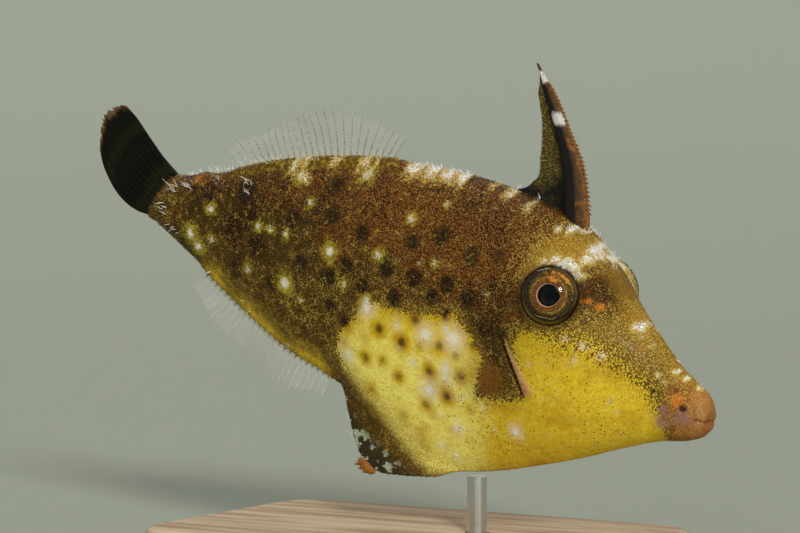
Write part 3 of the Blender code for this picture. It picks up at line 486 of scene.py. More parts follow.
FROST = [  # chalky patches above the eye, at the spine's foot, on the forehead and along the edge of the back
    (19.6, 9.0, 0.5, 0.75), (18.6, 9.5, 0.55, 0.95), (17.6, 9.5, 0.6, 1.0), (16.8, 9.1, 0.65, 1.0),
    (16.0, 8.5, 0.6, 1.0), (15.7, 7.9, 0.4, 0.8), (16.3, 10.3, 0.65, 0.9), (16.6, 11.1, 0.65, 1.0),
    (19.4, 12.2, 0.45, 1.0), (18.6, 12.5, 0.45, 1.0), (20.4, 11.9, 0.4, 0.8), (9.5, 5.6, 0.55, 1.0),
    (9.0, 4.7, 0.35, 0.6), (7.8, 4.3, 0.35, 0.6), (4.7, 2.7, 0.32, 0.9), (3.6, 2.3, 0.28, 0.9),
    (2.0, 1.9, 0.4, 0.7), (5.1, 1.5, 0.35, 0.6), (6.0, 1.9, 0.35, 0.55),
    (50.6, 7.1, 0.7, 0.6), (33.0, 10.2, 0.35, 0.6), (24.6, 12.6, 0.5, 0.6), (16.4, 11.6, 0.4, 0.9),
]
CREST_FROST = [  # (from s, to s, strength) of the chalky stretches along the crest of the back
    (32.6, 40.2, 1.0), (26.9, 28.3, 0.9), (29.2, 30.2, 0.6), (43.2, 45.6, 0.75), (47.6, 49.0, 0.75),
    (51.2, 53.4, 0.8), (24.2, 25.2, 0.7),
]
CREST_STREAK = (33.0, 39.6)
CLOUDS = [  # broad lighter (positive) and darker (negative) stretches of the brown
    (21.8, -1.2, 1.9, -0.8), (23.6, 1.0, 2.4, -0.6), (21.0, 3.6, 1.6, -0.4), (13.6, 8.2, 1.7, -0.9),
    (15.0, 5.4, 1.1, -0.7), (52.0, -0.5, 3.4, -0.8), (57.5, 1.0, 3.2, -0.9), (48.0, 3.2, 2.4, -0.5),
    (36.0, 3.6, 2.0, 0.35), (43.5, 3.4, 2.0, 0.25), (30.4, 5.6, 2.2, 0.2), (37.0, 8.6, 3.6, 0.2),
    (20.2, 9.8, 2.6, 1.0), (17.2, 10.2, 2.4, 1.5), (14.4, 3.3, 1.8, 1.1), (11.6, 3.6, 2.0, 1.3),
    (8.2, 2.6, 2.0, 1.4), (10.5, 6.6, 1.8, 0.9), (20.8, 7.2, 1.4, 0.6), (24.6, 9.6, 3.0, 0.1),
    (19.8, 2.2, 1.1, 0.8), (43.0, 7.4, 3.0, -0.1), (29.6, 10.8, 3.0, -0.2), (9.0, 6.2, 2.2, 0.7),
    (46.8, -5.6, 1.8, 0.2), (62.4, -0.6, 2.4, -1.1), (55.0, 7.0, 3.0, -0.3), (62.5, -3.4, 1.8, -0.8),
]
PECTORAL_PATCH = (21.9, -4.2, 1.7)
ORANGE_BLOTCHES = [
    (3.3, 0.4, 1.1, 0.75), (8.4, 3.6, 0.7, 0.5), (2.0, 1.3, 0.55, 0.5), (1.2, -2.0, 0.7, 0.5),
    (2.6, -2.7, 0.8, 0.45),
]
PLUM_BLOTCHES = [(2.2, -1.2, 1.1), (4.3, -2.2, 1.0), (2.4, -0.4, 0.5), (4.2, -0.9, 0.5)]
FLECKED = [(22.4, -8.2, 2.6), (20.5, -10.6, 2.2), (14.6, -1.0, 2.2), (9.6, -4.6, 1.8), (25.2, -6.4, 1.4)]
MIRROR_DRIFT = 0.9  # the spots of the left side lie up to this far from those of the right


def inside_by(outline):
    """How far each point of the skin is inside a closed outline, in millimetres, and negative outside it."""
    corners = np.array(outline)
    nearest, inside = np.full(s.shape, np.inf), np.zeros(s.shape, bool)
    for (s0, h0), (s1, h1) in zip(corners, np.roll(corners, -1, axis=0)):
        run_s, run_h = s1 - s0, h1 - h0
        t = np.clip(((s - s0) * run_s + (h - h0) * run_h) / (run_s**2 + run_h**2), 0, 1)
        nearest = np.minimum(nearest, np.hypot(s - s0 - t * run_s, h - h0 - t * run_h))
        if run_h:
            inside ^= ((h0 > h) != (h1 > h)) & (s < s0 + (h - h0) * run_s / run_h)
    return np.where(inside, nearest, -nearest)


def drifted(place, k, side):
    """The place of spot number k on one side: a little differently on the left than on the right."""
    drift = MIRROR_DRIFT * (side > 0)
    return place[0] + drift * math.sin(2.4 * k), place[1] + drift * math.cos(3.1 * k)


def spotted(spots, widen):
    """The strength of the nearest of several round spots, each widened so many times."""
    seen = np.zeros(s.shape)
    for k, (*place, radius, strength) in enumerate(spots):
        spot_s, spot_h = drifted(place, k, y)
        reach = np.hypot(s - spot_s, h - spot_h) / (radius * widen)
        seen = np.maximum(seen, strength * np.exp(-(reach**2.6)))
    return seen


def shared(*values):
    """Values cut to what lies between 0 and 1."""
    return tuple(np.clip(value, 0, 1) for value in values)


yellow_softness = (
    0.8 + 1.5 * smooth_step(s, 20, 14) * smooth_step(h, -1.5, 2.5) + 0.8 * smooth_step(h, -9.5, -13.5)
    + 1.6 * smooth_step(s, 7.5, 5.0) * smooth_step(h, -2.6, -0.4)
    + 0.4 * smooth_step(s, 33, 37) * smooth_step(h, -7, -10)
    + 1.0 * smooth_step(s, 19, 16) * smooth_step(h, -3.0, 0.5)
)
snout = smooth_step(s - 0.25 * h, 5.6, 3.0) + 0.4 * mark(2.6, -1.9, 1.6) * (s < 6)
amber = smooth_step(from_back, 3.4, 0.8) * stretch(s, 1.5, 4, 14, 17)
patch_s, patch_h, patch_reach = PECTORAL_PATCH
rust = bell(np.hypot(s - patch_s, (h - patch_h) / 1.15), patch_reach)
orange = 0.6 * mark(*BUMP_AT, 0.7)
for *place, strength in ORANGE_BLOTCHES + [(a, b, radius * 1.5, radius * 4.5) for a, b, radius in NOSTRILS]:
    orange = np.maximum(orange, strength * mark(*place))
streak = stretch(s, CREST_STREAK[0], CREST_STREAK[0] + 1, CREST_STREAK[1] - 1, CREST_STREAK[1])
orange = np.maximum(orange, 0.6 * streak * bell(from_back - 1.5 - 0.25 * np.sin(2 * s), 0.28))
frost = spotted(FROST, 1.15)
for start, end, strength in CREST_FROST:
    chalk = stretch(s, start - 0.3, start + 0.4, end - 0.4, end + 0.3) * (0.8 + 0.2 * np.sin(3.1 * s))
    frost = np.maximum(frost, strength * chalk * smooth_step(from_back, 3.6, 0.9))
orbit = (y > 0) * bell(eye_reach - LID_RADIUS - 0.55, 0.7)
frost = np.maximum(frost, 0.62 * orbit)
clouds = sum(strength * mark(*place) for *place, strength in CLOUDS) + 1.2 * orbit
lid_shade = 0.9 * bell(eye_reach - LID_RADIUS, 0.10)
web_shade = 0.85 * smooth_step(from_back, 1.5, 0.3) * stretch(s, 20.6, 21.8, 25.4, 27.4)
# Painted shade: the gill slit, the mouth line, the fold round each lid, the back below the spine's web and the
# skin under each eyeball
hollow_shade = gill_slit * 1.3 + mouth_line * 0.3 * smooth_step(s, 1.1, 0.5) + lid_shade + web_shade
hollow_shade = hollow_shade + (eye_reach < 2.9)
low_edge = smooth_step(from_keel, 4.2, 1.2) * stretch(s, 40.5, 44, 59, 63.5)
low_edge *= np.clip(0.3 + bell(s - 44.8, 2.2) + bell(s - 52.2, 2.4) + 0.7 * bell(s - 58.6, 1.2), 0, 1)
skirt = smooth_step(flap_depth, 0.3, 1.6) * (s > FLAP_ROOT[0]) * (s < FLAP_ROOT[1]) * smooth_step(s, 29, 34)
plum = sum(mark(*blotch) for blotch in PLUM_BLOTCHES)
flecks = sum(mark(*patch) for patch in FLECKED)
fields = {
    "zones": (inside_by(YELLOW_AREA) / yellow_softness, *shared(snout, fin_feet + 0.8 * amber)),
    "spots": (spotted(DARK_SPOTS, 1.35), spotted(DARK_SPOTS, 2.9), spotted(PALE_SPOTS, 1.1)),
    "marks": (spotted(PALE_SPOTS, 2.6), frost, *shared(hollow_shade)),
    "tones": (clouds, *shared(gill_fold, rust)),
    "skirt": (skirt, *shared(orange), mark(MOUTH_CORNER, MOUTH_H, 0.2)),
    "touches": shared(low_edge, plum, flecks),
    "level": (s, h, y),
}


def mesh_from(name, points, faces):
    """A mesh in the row frame from points (s, h, y) and faces."""
    made = bpy.data.meshes.new(name)
    made.from_pydata(to_row_frame(points).tolist(), [], faces)
    made.shade_smooth()
    return made


def placed_piece(name, mesh, finish):
    """An object with its finish that rides on the model."""
    mesh.materials.append(finish)
    piece = bpy.data.objects.new(name, mesh)
    bpy.context.scene.collection.objects.link(piece)
    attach(piece, "root")
    return piece


def keep_fields(mesh, values):
    """Stores fields of three values a vertex on a mesh, for its finish to read."""
    for name, parts in values.items():
        stacked = np.stack([np.ravel(part) for part in parts], -1).astype(np.float32)
        mesh.attributes.new(name, "FLOAT_VECTOR", "POINT").data.foreach_set("vector", stacked.ravel())


def keep_map(mesh, u, v):
    """Stores a UV map from places of each face corner."""
    layer = mesh.uv_layers.new(name="OFBake")
    layer.data.foreach_set("uv", np.stack([u, v], -1).astype(np.float32).ravel())


stations, ring_size = skin.shape[:2]
skin_size = stations * ring_size
points = np.concatenate([skin.reshape(-1, 3), [[*BACK_LINE[0], 0.0]], [skin[-1].mean(axis=0)]])
skin_mesh = mesh_from("skin", points, ring_faces(stations, ring_size, skin_size, skin_size + 1))
for name, parts in fields.items():
    fields[name] = tuple(np.concatenate([np.ravel(part), part[0, :1], part[-1, -1:]]) for part in parts)
keep_fields(skin_mesh, fields)
run = run_of(skin[:, HALF_RING // 2])
row_u = run / (run[-1] + 2)
edge_v = np.arange(ring_size + 1) / ring_size
a, b = edge_v[:-1], edge_v[1:]
row_ends = np.stack([row_u[:-1], row_u[:-1], row_u[1:], row_u[1:]], -1)
skin_u = [
    np.repeat(row_ends[:, None], ring_size, axis=1).ravel(), np.full(3 * ring_size, row_u[0]),
    np.tile(row_u[-1] + np.array([0, 0, 0.001]), ring_size),
]
skin_v = [
    np.tile(np.stack([a, b, b, a], -1).ravel(), stations - 1), np.stack([(a + b) / 2, b, a], -1).ravel(),
    np.stack([a, b, (a + b) / 2], -1).ravel(),
]
keep_map(skin_mesh, np.concatenate(skin_u), np.concatenate(skin_v))


class Wire:
    """The output of a node. Sums, differences and products of it are worked out by more nodes."""

    def __init__(self, socket):
        self.socket = socket

    def __add__(self, other):
        return calc("ADD", self, other)

    def __sub__(self, other):
        return calc("SUBTRACT", self, other)

    def __rsub__(self, other):
        return calc("SUBTRACT", other, self)

    def __mul__(self, other):
        return calc("MULTIPLY", self, other)

    def __abs__(self):
        return calc("ABSOLUTE", self)

    __radd__ = __add__


def feed(socket, value):
    """Links a socket to a wire, or sets a plain value on it."""
    if isinstance(value, Wire):
        socket.id_data.links.new(value.socket, socket)
    else:
        socket.default_value = (*value, 1) if socket.type == "RGBA" else value


def new_node(kind, inputs, **settings):
    """A node with inputs by name or number. It joins the tree of the first wire among them."""
    tree = next(value.socket.id_data for value in inputs.values() if isinstance(value, Wire))
    made = tree.nodes.new(kind)
    for key, value in settings.items():
        setattr(made, key, value)
    for key, value in inputs.items():
        feed(made.inputs[key], value)
    return made


def calc(operation, *values, clamp=False):
    inputs = dict(enumerate(values))
    return Wire(new_node("ShaderNodeMath", inputs, operation=operation, use_clamp=clamp).outputs[0])


def blend(share, first, second):
    """The first colour turned into the second by a share."""
    return Wire(new_node("ShaderNodeMix", {0: share, 6: first, 7: second}, data_type="RGBA").outputs[2])


def painted(colour, *layers):
    """A colour under layers of other colours, each with its share."""
    for share, other in layers:
        colour = blend(share, colour, other)
    return colour


def between(value, low, high):
    """How far a value has come from low to high, from 0 to 1, with soft ends."""
    inputs = {0: value, 1: low, 2: high}
    return Wire(new_node("ShaderNodeMapRange", inputs, interpolation_type="SMOOTHSTEP").outputs[0])


def within(value, start, full, waning, end):
    """1 where a value lies between full and waning, falling off softly to 0 at start and end."""
    return between(value, start, full) * between(value, end, waning)


def field(owner, name):
    """The three values of a field that the mesh holds, and the whole as a vector, in the tree of a node."""
    held = owner.id_data.nodes.new("ShaderNodeAttribute")
    held.attribute_name = name
    whole = Wire(held.outputs["Vector"])
    return [*(Wire(part) for part in new_node("ShaderNodeSeparateXYZ", {0: whole}).outputs), whole]


def noise_at(place, scale, detail=2.0, roughness=0.5):
    inputs = {"Vector": place, "Scale": scale, "Detail": detail, "Roughness": roughness}
    return Wire(new_node("ShaderNodeTexNoise", inputs).outputs[0])


def cells_at(place, scale):
    """Two random values of a cell, and the distance from its middle."""
    cells = new_node("ShaderNodeTexVoronoi", {"Vector": place, "Scale": scale})
    parts = new_node("ShaderNodeSeparateXYZ", {0: Wire(cells.outputs["Color"])})
    return Wire(parts.outputs[0]), Wire(parts.outputs[1]), Wire(cells.outputs["Distance"])


def finish_with(shader, colour, roughness, specular=0.5, relief=None, depth=0.0):
    """Gives a shader its colour, roughness and specular level, and a relief that deep in millimetres."""
    feed(shader.inputs["Base Color"], colour)
    feed(shader.inputs["Roughness"], roughness)
    shader.inputs["Specular IOR Level"].default_value = specular
    if relief is not None:
        bump = new_node("ShaderNodeBump", {"Height": relief, "Distance": depth * MM})
        feed(shader.inputs["Normal"], Wire(bump.outputs[0]))


GRAIN = 5.4  # velvet grains to the millimetre
DARK_BROWN = (0.016, 0.006, 0.001)
WARM_BROWN = (0.066, 0.019, 0.001)
OLIVE_BROWN = (0.044, 0.027, 0.002)
RUSSET_GRAIN = (0.42, 0.170, 0.028)
AMBER = (0.31, 0.155, 0.012)
GOLD_GRAIN = (0.72, 0.49, 0.080)
YELLOW = (0.76, 0.53, 0.024)
PALE_YELLOW = (0.98, 0.87, 0.19)
OCHRE = (0.50, 0.27, 0.008)
OLIVE_YELLOW = (0.34, 0.25, 0.012)
NET_BROWN = (0.115, 0.058, 0.004)
UMBER = (0.045, 0.018, 0.004)
SPOT_BLACK = (0.014, 0.004, 0.001)
SPOT_BROWN = (0.070, 0.026, 0.004)
LILAC = (0.86, 0.79, 0.74)
CHALK = (0.92, 0.89, 0.80)
SPOT_GOLD = (0.46, 0.36, 0.030)
FROST_GLEAM_ORANGE = (0.60, 0.25, 0.012)
BRIGHT_ORANGE = (0.62, 0.17, 0.012)
FROST_GOLD = (0.64, 0.47, 0.090)
FOOT_GOLD = (0.115, 0.064, 0.005)
EDGE_GOLD = (0.62, 0.42, 0.026)
SNOUT_FLESH = (0.40, 0.165, 0.030)
SNOUT_PLUM = (0.30, 0.135, 0.120)
SNOUT_PINK_AND_SHEEN = (0.56, 0.28, 0.13)
RUST = (0.24, 0.085, 0.008)
GILL_TAN = (0.52, 0.30, 0.12)
GILL_ROSE = (0.48, 0.22, 0.15)
SHADOW = (0.030, 0.010, 0.004)
MOUTH_RED = (0.20, 0.012, 0.006)
LIP_RED = (0.36, 0.085, 0.020)
SKIRT_BROWN = (0.030, 0.026, 0.010)
SKIRT_GREEN = (0.52, 0.58, 0.42)

fish_colours = bpy.data.node_groups.new("fish_colours", "ShaderNodeTree")
for title, kind in (("Color", "Color"), ("Roughness", "Float"), ("Height", "Float")):
    fish_colours.interface.new_socket(title, in_out="OUTPUT", socket_type="NodeSocket" + kind)
group_end = fish_colours.nodes.new("NodeGroupOutput")
s_at, h_at, _, level = field(group_end, "level")
yellow_field, snout_field, foot_field, _ = field(group_end, "zones")
dark_spot, dark_halo, pale_spot, _ = field(group_end, "spots")
pale_halo, frost_at, hollow_shade_at, _ = field(group_end, "marks")
cloud, fold, rusty, _ = field(group_end, "tones")
skirt_at, orange_at, red_corner_at, _ = field(group_end, "skirt")
low_edge_at, plum_at, fleck_at, _ = field(group_end, "touches")
chance, second_chance, off_middle = cells_at(level, GRAIN)
broad = noise_at(level, 0.33, 3.0)
medium = noise_at(level, 1.1, 3.0, 0.6)
fine = noise_at(level, 9.0, 3.0, 0.65)
mottle = noise_at(level, 1.9, 3.0, 0.65)
streaky = noise_at(level, 1.3, 4.0, 0.7)
grain = between(off_middle, 0.62, 0.16)
ragged = (chance - 0.5) * 0.6 + (medium - 0.5) * 1.2

# Brown of the back: warm or olive stretches, set with russet and golden grains
on_back = between(h_at, 0.0, 6.0) * between(s_at, 22.0, 27.0)
near_yellow = between(yellow_field + ragged * 0.3, -1.5, 0.1)
# Low on the rear of the belly: painted shade of the rounded underside over its own olive-brown, with dimmed
# grains and a smooth yellow edge
low_rear_shade = between(h_at, -8.5, -11.5) * between(s_at, 23.0, 27.0)
ground = painted(
    blend(between(cloud * 0.4 + broad, 0.25, 0.65), DARK_BROWN, WARM_BROWN),
    (between(noise_at(level, 0.21, 2.0) - h_at * 0.03, 0.38, 0.56), OLIVE_BROWN),
    (between(cloud, 0.5, 1.5) * 0.85, AMBER),
    (near_yellow * 0.8, NET_BROWN),
)
golden = second_chance * 0.3 + cloud * 0.7 + (medium * 2.2 - 0.85) + near_yellow * 0.55 - on_back * 0.6
grain_colour = blend(between(golden, -0.1, 1.3), RUSSET_GRAIN, GOLD_GRAIN)
rear_patches = (medium - 0.52) * between(s_at, 36.0, 46.0)
lit = chance * 0.5 + cloud * 0.6 + near_yellow * 0.25 + on_back * 0.2 + rear_patches * 2.4
# grains dimmed low on the belly's rear: painted shade
lit_grain = grain * between(lit, -0.75, 0.75) * (1.0 - low_rear_shade * 0.55)
gold_edge = low_edge_at * between(ragged, -0.6, 0.6)
brown = painted(ground, (lit_grain * 0.87, grain_colour), (gold_edge, EDGE_GOLD))

# Yellow of the cheek, paler between the spots of the belly and towards the bottom of the patch, with ochre
# clouds
# The paler bottom of the belly patch is partly its own colour, partly painted light on its down-facing side
on_belly = between(s_at, 20.0, 24.5) * between(h_at, 0.5, -9.0)
paleness = calc("ADD", on_belly * between(dark_halo, 0.75, 0.05), (medium - 0.5) * 1.1, clamp=True)
netted = between(off_middle, 0.22, 0.6) * between(yellow_field, 2.6, 0.2)
stippled = between(off_middle, 0.28, 0.62) * between(chance, 0.2, 0.8) * (1.0 - on_belly * 0.6)
yellows = painted(
    blend(paleness, YELLOW, PALE_YELLOW),
    (between(broad, 0.5, 0.7) * 0.5, OCHRE),
    (between(streaky, 0.5, 0.66) * 0.3, OLIVE_YELLOW),
    (netted * 0.5, NET_BROWN),
    (stippled * 0.6, OCHRE),
    (between(dark_halo + ragged * 0.2, 0.25, 0.9) * 0.75, OCHRE),
    (between(pale_halo + ragged * 0.3, 0.2, 1.0) * 0.3, LILAC),
)

# Brown gives way to yellow in beads that grow until they meet, and both to the tan and plum of the snout
bead_size = (yellow_field + ragged * 0.45) * 0.75 + 0.25
in_beads = between(off_middle, bead_size + 0.13, bead_size - 0.13)
even = between(yellow_field + ragged * 0.3, -0.6, 0.6)
is_yellow = in_beads * (1.0 - low_rear_shade) + even * low_rear_shade
is_brown = 1.0 - is_yellow
snout_net = between(off_middle, 0.3, 0.62) * between(s_at, 1.6, 3.2)
tan_snout = painted(
    blend(between(medium, 0.38, 0.58) * 0.85, SNOUT_FLESH, RUST),
    (grain * 0.2, GOLD_GRAIN),
    # pink mottles over the snout: painted highlights
    (between(mottle, 0.54, 0.7) * 0.45, SNOUT_PINK_AND_SHEEN),
    # the snout's own tan-pink tip, with painted highlights
    (between(s_at, 1.9, 0.7) * 0.25, SNOUT_PINK_AND_SHEEN),
    (between(s_at, 0.55, 0.1) * 0.55, LIP_RED),
    (snout_net * 0.5, UMBER),
)

# Spots, the fins' feet and frost, then gill, mouth, painted shade in the gill slit, mouth line and lid folds,
# and the flap under the belly
spot_colour = blend(grain * 0.05, blend(is_yellow, SPOT_BLACK, SPOT_BROWN), GOLD_GRAIN)
dark_share = between(dark_spot + ragged * 0.3, 0.05, 0.55 + is_yellow * 0.45)
pale_ring = between(pale_halo + ragged * 0.75, 0.25, 1.05) * 0.8
pale_share = between(pale_spot + ragged * 0.55, 0.2, 1.25) * (0.75 + mottle * 0.3)
speck_chance, _, speck_off = cells_at(level, 3.2)
speck_share = between(speck_off, 0.34, 0.2) * between(speck_chance + fleck_at * 0.5, 0.93, 0.99)
foot_colour = painted(
    blend(between(noise_at(level, 2.2, 3.0), 0.46, 0.7) * 0.6, FOOT_GOLD, EDGE_GOLD),
    (low_edge_at, EDGE_GOLD),
    (between(s_at, 22.0, 18.0), blend(lit_grain * 0.8, AMBER, GOLD_GRAIN)),
)
frost_edge = frost_at + ragged * 0.8
# A gold and orange rim round the chalky patches: partly their own golden halo, partly painted gleam on the
# forehead and the snout ridge
frost_rim_and_gleam = blend(between(mottle, 0.5, 0.64) * 0.8, FROST_GOLD, FROST_GLEAM_ORANGE)
pits = between(off_middle, 0.4, 0.24) * between(frost_at, 0.1, 0.45) * between(chance, 0.42, 0.55)
flap_blotch = between(noise_at(level, 1.0, 2.0), 0.5, 0.6)
gill_colour = blend(between(h_at, -1.6, -4.6), GILL_TAN, GILL_ROSE)
colour = painted(
    blend(is_yellow, brown, yellows),
    (snout_field * 0.85, tan_snout),
    (between(plum_at + ragged * 0.8, 0.25, 1.2) * 0.85, SNOUT_PLUM),
    (dark_share * 0.96, spot_colour),
    (pale_ring * is_brown, SPOT_GOLD),
    (pale_share, blend(is_yellow, CHALK, LILAC)),
    (speck_share * 0.85, UMBER),
    (foot_field * 0.75, foot_colour),
    # golden rim of the chalky patches, with painted gleam
    (between(frost_edge, 0.1, 0.6) * 0.75, frost_rim_and_gleam),
    (between(frost_edge, 0.5, 1.1) * 0.95, CHALK),
    (pits, UMBER),
    (between(rusty + ragged * 0.4, 0.2, 1.0) * 0.9, RUST),
    (skirt_at * 0.9, blend(flap_blotch * 0.85, SKIRT_BROWN, SKIRT_GREEN)),
    (fold, blend(between(streaky, 0.48, 0.62) * 0.55, gill_colour, RUST)),
    (between(orange_at + ragged * 0.5, 0.2, 1.0) * 0.85, blend(grain * 0.4, BRIGHT_ORANGE, GOLD_GRAIN)),
    (red_corner_at * 0.9, MOUTH_RED),
    # painted shade in the gill slit, the mouth line, the lid folds, below the spine's web and under the
    # eyeballs
    (hollow_shade_at, SHADOW),
)
velvet = 1.0 - calc("MAXIMUM", snout_field, is_yellow) * 0.8
feed(group_end.inputs["Color"], colour)
feed(group_end.inputs["Roughness"], 0.42 + fine * 0.3)
feed(group_end.inputs["Height"], (grain + fine * 0.35) * velvet)


def fish_looks(shader):
    """The wires of the hide's colours, roughness and grain, by name, for a finish."""
    group = shader.id_data.nodes.new("ShaderNodeGroup")
    group.node_tree = fish_colours
    return {socket.name: Wire(socket) for socket in group.outputs}


hide, shader = new_material("velvet_hide")
looks = fish_looks(shader)
finish_with(shader, looks["Color"], looks["Roughness"], 0.12, looks["Height"], 0.07)
shader.inputs["Coat Weight"].default_value = 0.03
shader.inputs["Coat Roughness"].default_value = 0.25
hide_piece = placed_piece("skin", skin_mesh, hide)
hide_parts("head", "lip_upper", "lip_lower", "trunk", "tail_root", "pelvic_flap", "gill_flap_right",
            "gill_flap_left")

# Each eye is an opaque globe with a sunken blue-black pupil and a mottled bronze iris, dished below a clear
# cornea that meets the lids. The iris has a thin pale ring at the pupil, a gold arc and a dark outer band.
PUPIL = 1.10
IRIS_EDGE = 2.48
CORNEA_REACH = 2.88
CORNEA_HEIGHT = 1.85
EYE_PROFILE = [  # (distance from the eye's axis, height) from the pupil's middle to behind the lids
    (0.0, 0.30), (0.55, 0.32), (0.90, 0.40), (1.03, 0.62), (1.10, 0.92), (1.19, 1.04), (1.5, 1.02),
    (1.75, 0.98),
    (2.05, 0.82), (2.3, 0.58), (2.48, 0.42), (2.6, 0.46), (2.74, 0.44), (2.85, 0.2), (2.86, -0.4),
    (2.5, -1.3),
    (1.5, -1.9), (0.0, -2.1),
]
EYE_RINGS = 64
EYE_TURNS = 120
CORNEA_TURNS = 72


def eye_piece(name, side, profile, turns, finish, shape=None):
    """A body of revolution about the eye's axis that keeps each point's place in the eye for its finish."""
    turn = 2 * math.pi * np.arange(turns) / turns
    reach, height = (column[:, None] * np.ones(turns) for column in profile[1:-1].T)
    drawn, raised = shape(turn, reach, height) if shape else (reach, height)
    poles = [(0, 0, profile[0, 1]), (0, 0, profile[-1, 1])]
    body = np.stack([-side * drawn * np.cos(turn), drawn * np.sin(turn), raised], -1).reshape(-1, 3)
    discs = np.stack([reach * np.cos(turn), reach * np.sin(turn), height], -1).reshape(-1, 3)
    faces = turned_over(ring_faces(len(reach), turns, len(body), len(body) + 1))
    if side > 0:
        faces = [face[::-1] for face in faces]
    mesh = mesh_from(name, np.concatenate([body, poles]) @ eye_axes(side) + EYE_AT * (1, 1, side), faces)
    keep_fields(mesh, {"disc": np.concatenate([discs, poles]).T})
    return placed_piece(name, mesh, finish)


def iris_shape(turn, reach, height):
    """The pupil drawn out to one side and flattened above that, and fine folds across the iris."""
    side_turn = np.mod(turn - 0.12 + math.pi, 2 * math.pi) - math.pi
    corner = 0.10 * bell(side_turn, 0.3) - 0.09 * bell(side_turn - 0.75, 0.4)
    corner = corner * stretch(reach, 0.4, 1.0, 1.2, 1.7)
    folds = 0.016 * np.sin(27 * turn + 3 * np.sin(5 * reach)) + 0.010 * np.sin(61 * turn - 6 * reach)
    on_iris = stretch(reach, PUPIL, PUPIL + 0.15, IRIS_EDGE - 0.4, IRIS_EDGE)
    return reach * (1 + corner), height + on_iris * folds


def near(value, middle, reach, core=0.3):
    """1 where a value is close to a middle one, and 0 beyond its reach."""
    return between(abs(value - middle), reach, reach * core)


PUPIL_BLUE = (0.0003, 0.0004, 0.0014)
IRIS_BRONZE = (0.180, 0.064, 0.010)
IRIS_OLIVE = (0.040, 0.030, 0.008)
IRIS_GOLD = (0.56, 0.33, 0.045)
IRIS_ORANGE = (0.78, 0.27, 0.015)
IRIS_PALE = (0.80, 0.52, 0.38)
IRIS_RED = (0.20, 0.022, 0.008)
EYE_BAND = (0.012, 0.013, 0.006)
EYE_RIM_OLIVE = (0.110, 0.066, 0.012)
RIM_HIGHLIGHT_GOLD = (0.44, 0.31, 0.030)

iris_finish, shader = new_material("eye_globe")
ahead_at, up_at, _, disc = field(shader, "disc")
distance = calc("SQRT", ahead_at * ahead_at + up_at * up_at)
turn_at = calc("ARCTAN2", up_at, ahead_at)
flecks = noise_at(disc, 3.2, 5.0, 0.75)
fine_flecks = noise_at(disc, 9.0, 3.0, 0.75)
streaks = new_node("ShaderNodeCombineXYZ", {0: turn_at * 9.0, 1: distance * 1.6})
streaked = noise_at(Wire(streaks.outputs[0]), 1.0, 3.0, 0.6)
wavering = distance + (noise_at(disc, 1.6, 3.0) - 0.5) * 0.5
arc = near(wavering, 1.75, 0.1) * between(fine_flecks, 0.4, 0.6)
band = between(wavering, 1.78, 2.1) * between(fine_flecks, 0.7, 0.45)
# Thin orange arcs in the upper right of the iris: painted highlights on its ridge.
over = near(turn_at, 1.35, 0.95, 0.4) * between(wavering, 1.95, 2.25) * between(streaked, 0.42, 0.62)
above = near(wavering, 1.72, 0.5) * near(turn_at, 1.6, 0.42, 0.4) * between(flecks, 0.46, 0.62)
gold_top = near(turn_at, 1.0, 0.8, 0.4) * near(wavering, 2.35, 0.16) * between(fine_flecks, 0.42, 0.6)
# A pale arc low in the iris: a painted reflection.
painted_low_reflection = near(wavering, 2.25, 0.08) * near(turn_at, -1.4, 0.6, 0.4)
colour = painted(
    blend(between(flecks * 0.6 + streaked * 0.4, 0.42, 0.58), IRIS_OLIVE, IRIS_BRONZE),
    (between(fine_flecks, 0.52, 0.66) * 0.75, IRIS_GOLD),
    (arc * 0.7, IRIS_GOLD),
    (band * 0.9, EYE_BAND),
    # painted highlights on the ridge of the iris
    (over, IRIS_ORANGE),
    (above, IRIS_ORANGE),
    (gold_top, IRIS_GOLD),
    # the painted reflection low in the iris
    (painted_low_reflection * 0.8, IRIS_PALE),
    # The olive rim of the iris, gold along its lower side: a painted highlight there.
    (between(distance, 2.46, 2.56), blend(near(turn_at, -1.6, 1.2, 0.4), EYE_RIM_OLIVE, RIM_HIGHLIGHT_GOLD)),
    (near(distance, 2.47, 0.06) * 0.8, EYE_BAND),
    (near(wavering, 1.34, 0.18) * 0.5, IRIS_RED),
    (near(distance, 1.13, 0.05) * 0.85, IRIS_PALE),
    (between(distance, PUPIL - 0.01, PUPIL - 0.06), PUPIL_BLUE),
    # painted shadow where the edge of the globe goes under the lids
    (between(distance, 2.76, 2.84), UMBER),
)
finish_with(shader, colour, 0.3 + flecks * 0.25, 0.06, flecks, 0.03)

cornea_finish, shader = new_material("clear_cornea")
nodes = shader.id_data.nodes
mirror = nodes.new("ShaderNodeFresnel")
clear = nodes.new("ShaderNodeBsdfTransparent")
gloss = nodes.new("ShaderNodeBsdfGlossy")
mirror.inputs["IOR"].default_value = 1.33
gloss.inputs["Roughness"].default_value = 0.04
parts = {number: Wire(part.outputs[0]) for number, part in enumerate((mirror, clear, gloss))}
feed(nodes["Material Output"].inputs["Surface"], Wire(new_node("ShaderNodeMixShader", parts).outputs[0]))
nodes.remove(shader)

